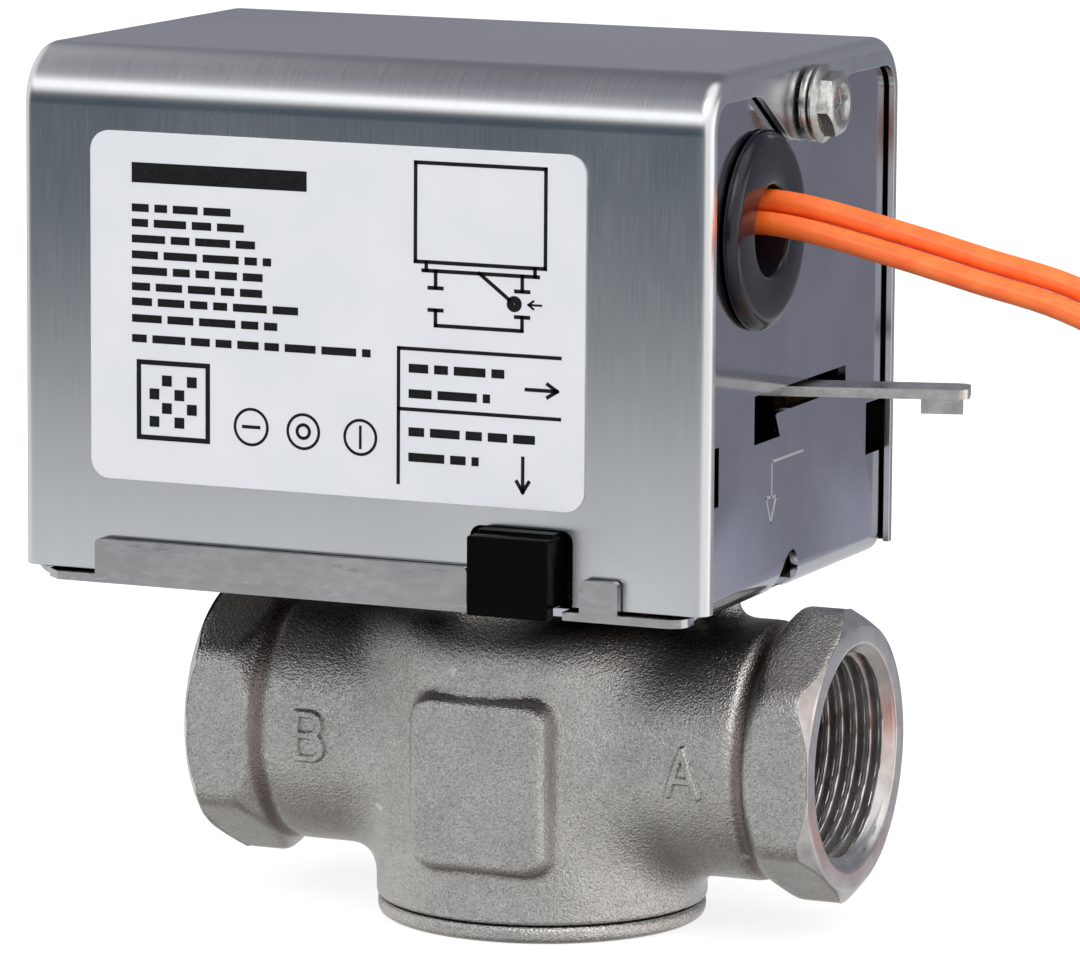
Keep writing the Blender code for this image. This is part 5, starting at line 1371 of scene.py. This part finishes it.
def lever_mesh():
    half = LEVER_W / 2
    st = (LEVER_TIP_X - LEVER_PT[0]) / ca
    pts = [along(-27.0, -half)]
    pts += [along(st - 1.5 + p, -half + 1.5 + q) for p, q in arc(0, 0, 1.5, -90, 0, 6)]
    pts += [along(st - 1.5 + p, half - 1.5 + q) for p, q in arc(0, 0, 1.5, 0, 90, 6)]
    pts.append(along(-27.0, half))
    m = prism(pts, "z", LEVER_Z0, LEVER_Z0 + LEVER_T)
    tab = prism([along(st - 5.7, -half + 0.22), along(st - 0.7, -half + 0.22), along(st - 0.7, -half + 1.2),
                 along(st - 5.7, -half + 1.2)], "z", LEVER_Z0 - 1.75, LEVER_Z0 + 0.4)
    m = union(m, tab)
    for s in (-24.0, -13.0):
        q = along(s, 0)
        m = cut(m, rod(1.3, 64, 68, (q[0], q[1], 0), seg=24))
    return soften(m, 0.16, 3, 30)


add("manual_lever_strip", lever_mesh(), M_LEVER, "drive", "manual_lever")

# ------------------------------------------------------- finer inner pieces
BALL_R = 6.8
REST = math.radians(20.0)
BALL_X = -(11.5 / math.cos(REST)) * math.sin(REST)
ball_bm = bmesh.new()
bmesh.ops.create_uvsphere(ball_bm, u_segments=64, v_segments=40, radius=BALL_R * MM)
for v in ball_bm.verts:
    v.co = v.co * (1.0 + 0.012 * math.exp(-(v.co.z / MM / 0.35) ** 2)) + Vector((BALL_X, 0.0, PORT_Z)) * MM
add("paddle_ball_rubber", smooth(bm_mesh(ball_bm), 60), M_RUBBER, "drive", "paddle_ball")


def torus_mesh(big, small, z, seg=72, sides=16):
    prof = [(big + small * math.cos(2 * math.pi * k / sides), z + small * math.sin(2 * math.pi * k / sides))
            for k in range(sides)]
    return smooth(lathe(prof, seg, closed=True), 60)


add("plug_o_ring_fine", torus_mesh(15.4, 0.7, 4.7), M_RUBBER, BODY, "plug_o_ring")
stem_ring = torus_mesh(3.45, 0.6, 35.5, 48, 14)
stem_ring.transform(Matrix.Translation(Vector((0, STEM_Y * MM, 0))))
add("stem_o_ring_fine", stem_ring, M_RUBBER, BODY, "stem_o_ring")

# ---------------------------------------------------------- node materials
NODE_MATS = {
    "gland_washer": M_ZINC, "stem_bush": M_BRASS, "valve_stem": M_ZINC, "paddle_arm": M_ZINC, "stem_clip": M_SPRING,
    "ball_pin": M_ZINC, "clinch_nut": M_ZINC, "latch_plate": M_ZINC, "latch_rivet": M_ZINC, "button_spring": M_SPRING,
    "drive_hub": M_NYLON, "sector_gear": M_LEVER, "lever_rivet_1": M_ZINC, "lever_rivet_2": M_ZINC,
    "return_spring": M_SPRING, "motor_plate": M_PLATE, "standoff_1": M_BRASS, "standoff_2": M_BRASS,
    "standoff_3": M_BRASS, "standoff_4": M_BRASS, "motor_gearcase": M_ZINC, "motor_can": M_ZINC,
    "motor_screw_1": M_ZINC, "motor_screw_2": M_ZINC, "motor_pinion": M_BRASS, "splice_a": M_WHITE,
    "splice_b": M_WHITE, "motor_lead_a": M_WHITE, "motor_lead_b": M_WHITE,
}
for node, mat in NODE_MATS.items():
    ob = frame["nodes"][node] if isinstance(frame["nodes"], dict) else bpy.data.objects[node]
    if isinstance(ob, str):
        ob = bpy.data.objects[ob]
    if not ob.material_slots:
        ob.data.materials.append(mat)
    for slot in ob.material_slots:
        slot.material = mat

# ------------------------------------------------------------ floor, light


def floor():
    bm = bmesh.new()
    n = 48
    rings = []
    for r in (0.0, 0.25, 0.6, 1.2, 2.4, 4.5):
        if r == 0.0:
            rings.append([bm.verts.new((0, 0, 0))])
        else:
            rings.append([bm.verts.new((r * math.cos(2 * math.pi * k / n), r * math.sin(2 * math.pi * k / n), 0))
                          for k in range(n)])
    for i in range(len(rings) - 1):
        a, b = rings[i], rings[i + 1]
        for k in range(n):
            j = (k + 1) % n
            if len(a) == 1:
                bm.faces.new((a[0], b[k], b[j]))
            else:
                bm.faces.new((a[k], b[k], b[j], a[j]))
    me = bm_mesh(bm, "floor")
    ob = bpy.data.objects.new("studio_floor", me)
    SCENE.collection.objects.link(ob)
    s = Shader("floor_paper", (0.90, 0.90, 0.90), 0.0, 0.75)
    a = s.noise(s.coord((20.0, 20.0, 20.0)), 1.0, 2.0, 0.5)
    s.color(s.mix(s.ramp(a, 0.3, 0.7), (0.33, 0.33, 0.335), (0.34, 0.34, 0.34)))
    s.b.inputs["Specular IOR Level"].default_value = 0.1
    s.b.inputs["Emission Color"].default_value = (1.0, 1.0, 1.0, 1.0)
    s.b.inputs["Emission Strength"].default_value = 0.78
    me.materials.append(s.m)
    ob.visible_glossy = False
    ob.visible_diffuse = False
    return ob


FLOOR = floor()


def sweep():
    """Pale backdrop that carries the floor's colour up behind the object."""
    prof = [(4.45, 0.0)] + [(4.5 + 1.0 * math.sin(math.radians(a)), 1.0 - math.cos(math.radians(a))) for a in range(0, 91, 15)]
    prof += [(5.5, 3.0), (5.5, 7.0)]
    bm = bmesh.new()
    n = 64
    rows = [[bm.verts.new((r * math.cos(2 * math.pi * k / n), r * math.sin(2 * math.pi * k / n), z)) for k in range(n)]
            for r, z in prof]
    for a, b in zip(rows, rows[1:]):
        for k in range(n):
            j = (k + 1) % n
            bm.faces.new((a[k], b[k], b[j], a[j]))
    me = bm_mesh(bm, "sweep")
    me.shade_smooth()
    me.materials.append(MATS["floor_paper"])
    ob = bpy.data.objects.new("studio_sweep", me)
    SCENE.collection.objects.link(ob)
    ob.visible_glossy = False
    ob.visible_diffuse = False
    ob.visible_shadow = False
    return ob


sweep()


def studio():
    """Plain studio surround, brightest in a long strip ahead of the object."""
    w = bpy.data.worlds.new("studio")
    SCENE.world = w
    w.use_nodes = True
    nt = w.node_tree
    bg = nt.nodes.get("Background")
    tc = nt.nodes.new("ShaderNodeTexCoord")
    sep = nt.nodes.new("ShaderNodeSeparateXYZ")
    nt.links.new(tc.outputs["Generated"], sep.inputs[0])
    height = nt.nodes.new("ShaderNodeMapRange")
    height.inputs[1].default_value, height.inputs[2].default_value = -1.0, 1.0
    nt.links.new(sep.outputs[2], height.inputs[0])
    side = nt.nodes.new("ShaderNodeMapRange")
    side.interpolation_type = "SMOOTHSTEP"
    side.inputs[1].default_value, side.inputs[2].default_value = -0.30, 0.25
    nt.links.new(sep.outputs[1], side.inputs[0])

    def strip_of(stops):
        ramp = nt.nodes.new("ShaderNodeValToRGB")
        ramp.color_ramp.interpolation = "EASE"
        nt.links.new(height.outputs[0], ramp.inputs[0])
        el = ramp.color_ramp.elements
        while len(el) > 1:
            el.remove(el[-1])
        for i, (deg, v, tint) in enumerate(stops):
            pos = (math.sin(math.radians(deg)) + 1) / 2
            e = el[0] if i == 0 else el.new(pos)
            e.position = pos
            e.color = (v * tint[0] / 2, v * tint[1] / 2, v * tint[2] / 2, 1)
        return ramp.outputs[0]

    n_, b_, l_, w_ = (1, 1, 1), (0.72, 1.0, 1.27), (0.94, 0.95, 1.10), (1.03, 1.0, 0.96)
    front = strip_of([(-90, 0.18, w_), (-50, 0.42, w_), (-28, 0.84, n_), (-15, 1.02, n_), (-9.0, 0.95, n_), (-8.2, 0.82, n_),
                      (-7.6, 0.36, n_), (-7.0, 0.14, b_), (-5.5, 0.085, b_), (0, 0.085, b_), (7, 0.11, b_), (13, 0.20, n_), (19, 0.95, n_),
                      (25, 1.55, n_), (33, 1.55, n_), (41, 0.58, n_), (47, 0.36, n_), (56, 0.33, l_), (66, 0.22, l_), (90, 0.20, l_)])
    back = strip_of([(-90, 0.20, w_), (-50, 0.45, w_), (-28, 0.70, n_), (-15, 0.75, n_), (-11, 0.48, l_), (-9.4, 0.30, l_),
                     (-4, 0.25, l_), (5, 0.31, l_), (15, 0.30, l_), (25, 0.26, l_), (42, 0.19, l_), (60, 0.18, l_), (90, 0.20, l_)])
    mix = nt.nodes.new("ShaderNodeMix")
    mix.data_type = "RGBA"
    cols = [q for q in mix.inputs if q.type == "RGBA"]
    nt.links.new(side.outputs[0], mix.inputs[0])
    nt.links.new(front, cols[0])
    nt.links.new(back, cols[1])
    # soft panels to the right and behind on the left
    last = [q for q in mix.outputs if q.type == "RGBA"][0]
    for aim, lo, hi, val in (((0.955, -0.25, 0.16), 0.80, 0.94, (0.56, 0.55, 0.54, 1)),
                             ((0.90, 0.43, -0.04), 0.91, 0.975, (0.80, 0.78, 0.76, 1)),
                             ((0.52, -0.02, 0.82), 0.80, 0.95, (0.70, 0.69, 0.68, 1)),
                             ((0.45, -0.49, 0.74), 0.950, 0.985, (1.7, 1.68, 1.65, 1)),
                             ((-0.90, 0.22, 0.30), 0.72, 0.92, (0.50, 0.49, 0.48, 1))):
        dot = nt.nodes.new("ShaderNodeVectorMath")
        dot.operation = "DOT_PRODUCT"
        nt.links.new(tc.outputs["Generated"], dot.inputs[0])
        dot.inputs[1].default_value = Vector(aim).normalized()
        lobe = nt.nodes.new("ShaderNodeMapRange")
        lobe.interpolation_type = "SMOOTHSTEP"
        lobe.inputs[1].default_value, lobe.inputs[2].default_value = lo, hi
        lobe.inputs[3].default_value, lobe.inputs[4].default_value = 0.0, 1.0
        nt.links.new(dot.outputs["Value"], lobe.inputs[0])
        panel = nt.nodes.new("ShaderNodeMix")
        panel.data_type = "RGBA"
        pc = [q for q in panel.inputs if q.type == "RGBA"]
        nt.links.new(lobe.outputs[0], panel.inputs[0])
        nt.links.new(last, pc[0])
        pc[1].default_value = val
        last = [q for q in panel.outputs if q.type == "RGBA"][0]
    nt.links.new(last, bg.inputs[0])
    bg.inputs[1].default_value = 2.0


studio()


def area(name, pos, aim, sx, sy, power, rgb=(1, 1, 1)):
    d = bpy.data.lights.new(name, "AREA")
    d.shape, d.size, d.size_y = "RECTANGLE", sx, sy
    d.energy, d.color = power, rgb
    o = bpy.data.objects.new(name, d)
    SCENE.collection.objects.link(o)
    o.location = pos
    v = Vector(aim) - Vector(pos)
    o.rotation_euler = v.to_track_quat("-Z", "Y").to_euler()
    o.visible_glossy = False
    return o


# broad and soft from the front left, above and the right
area("soft_front", (-0.7, -1.2, 0.9), (0, 0, 0.05), 1.6, 0.9, 11.0)
area("soft_top", (0.1, 0.1, 1.3), (0, 0, 0.05), 1.6, 1.6, 9.0)
area("soft_right", (1.1, -0.6, 0.6), (0, 0, 0.05), 0.6, 0.9, 4.0)
SCENE.view_settings.view_transform = "Standard"
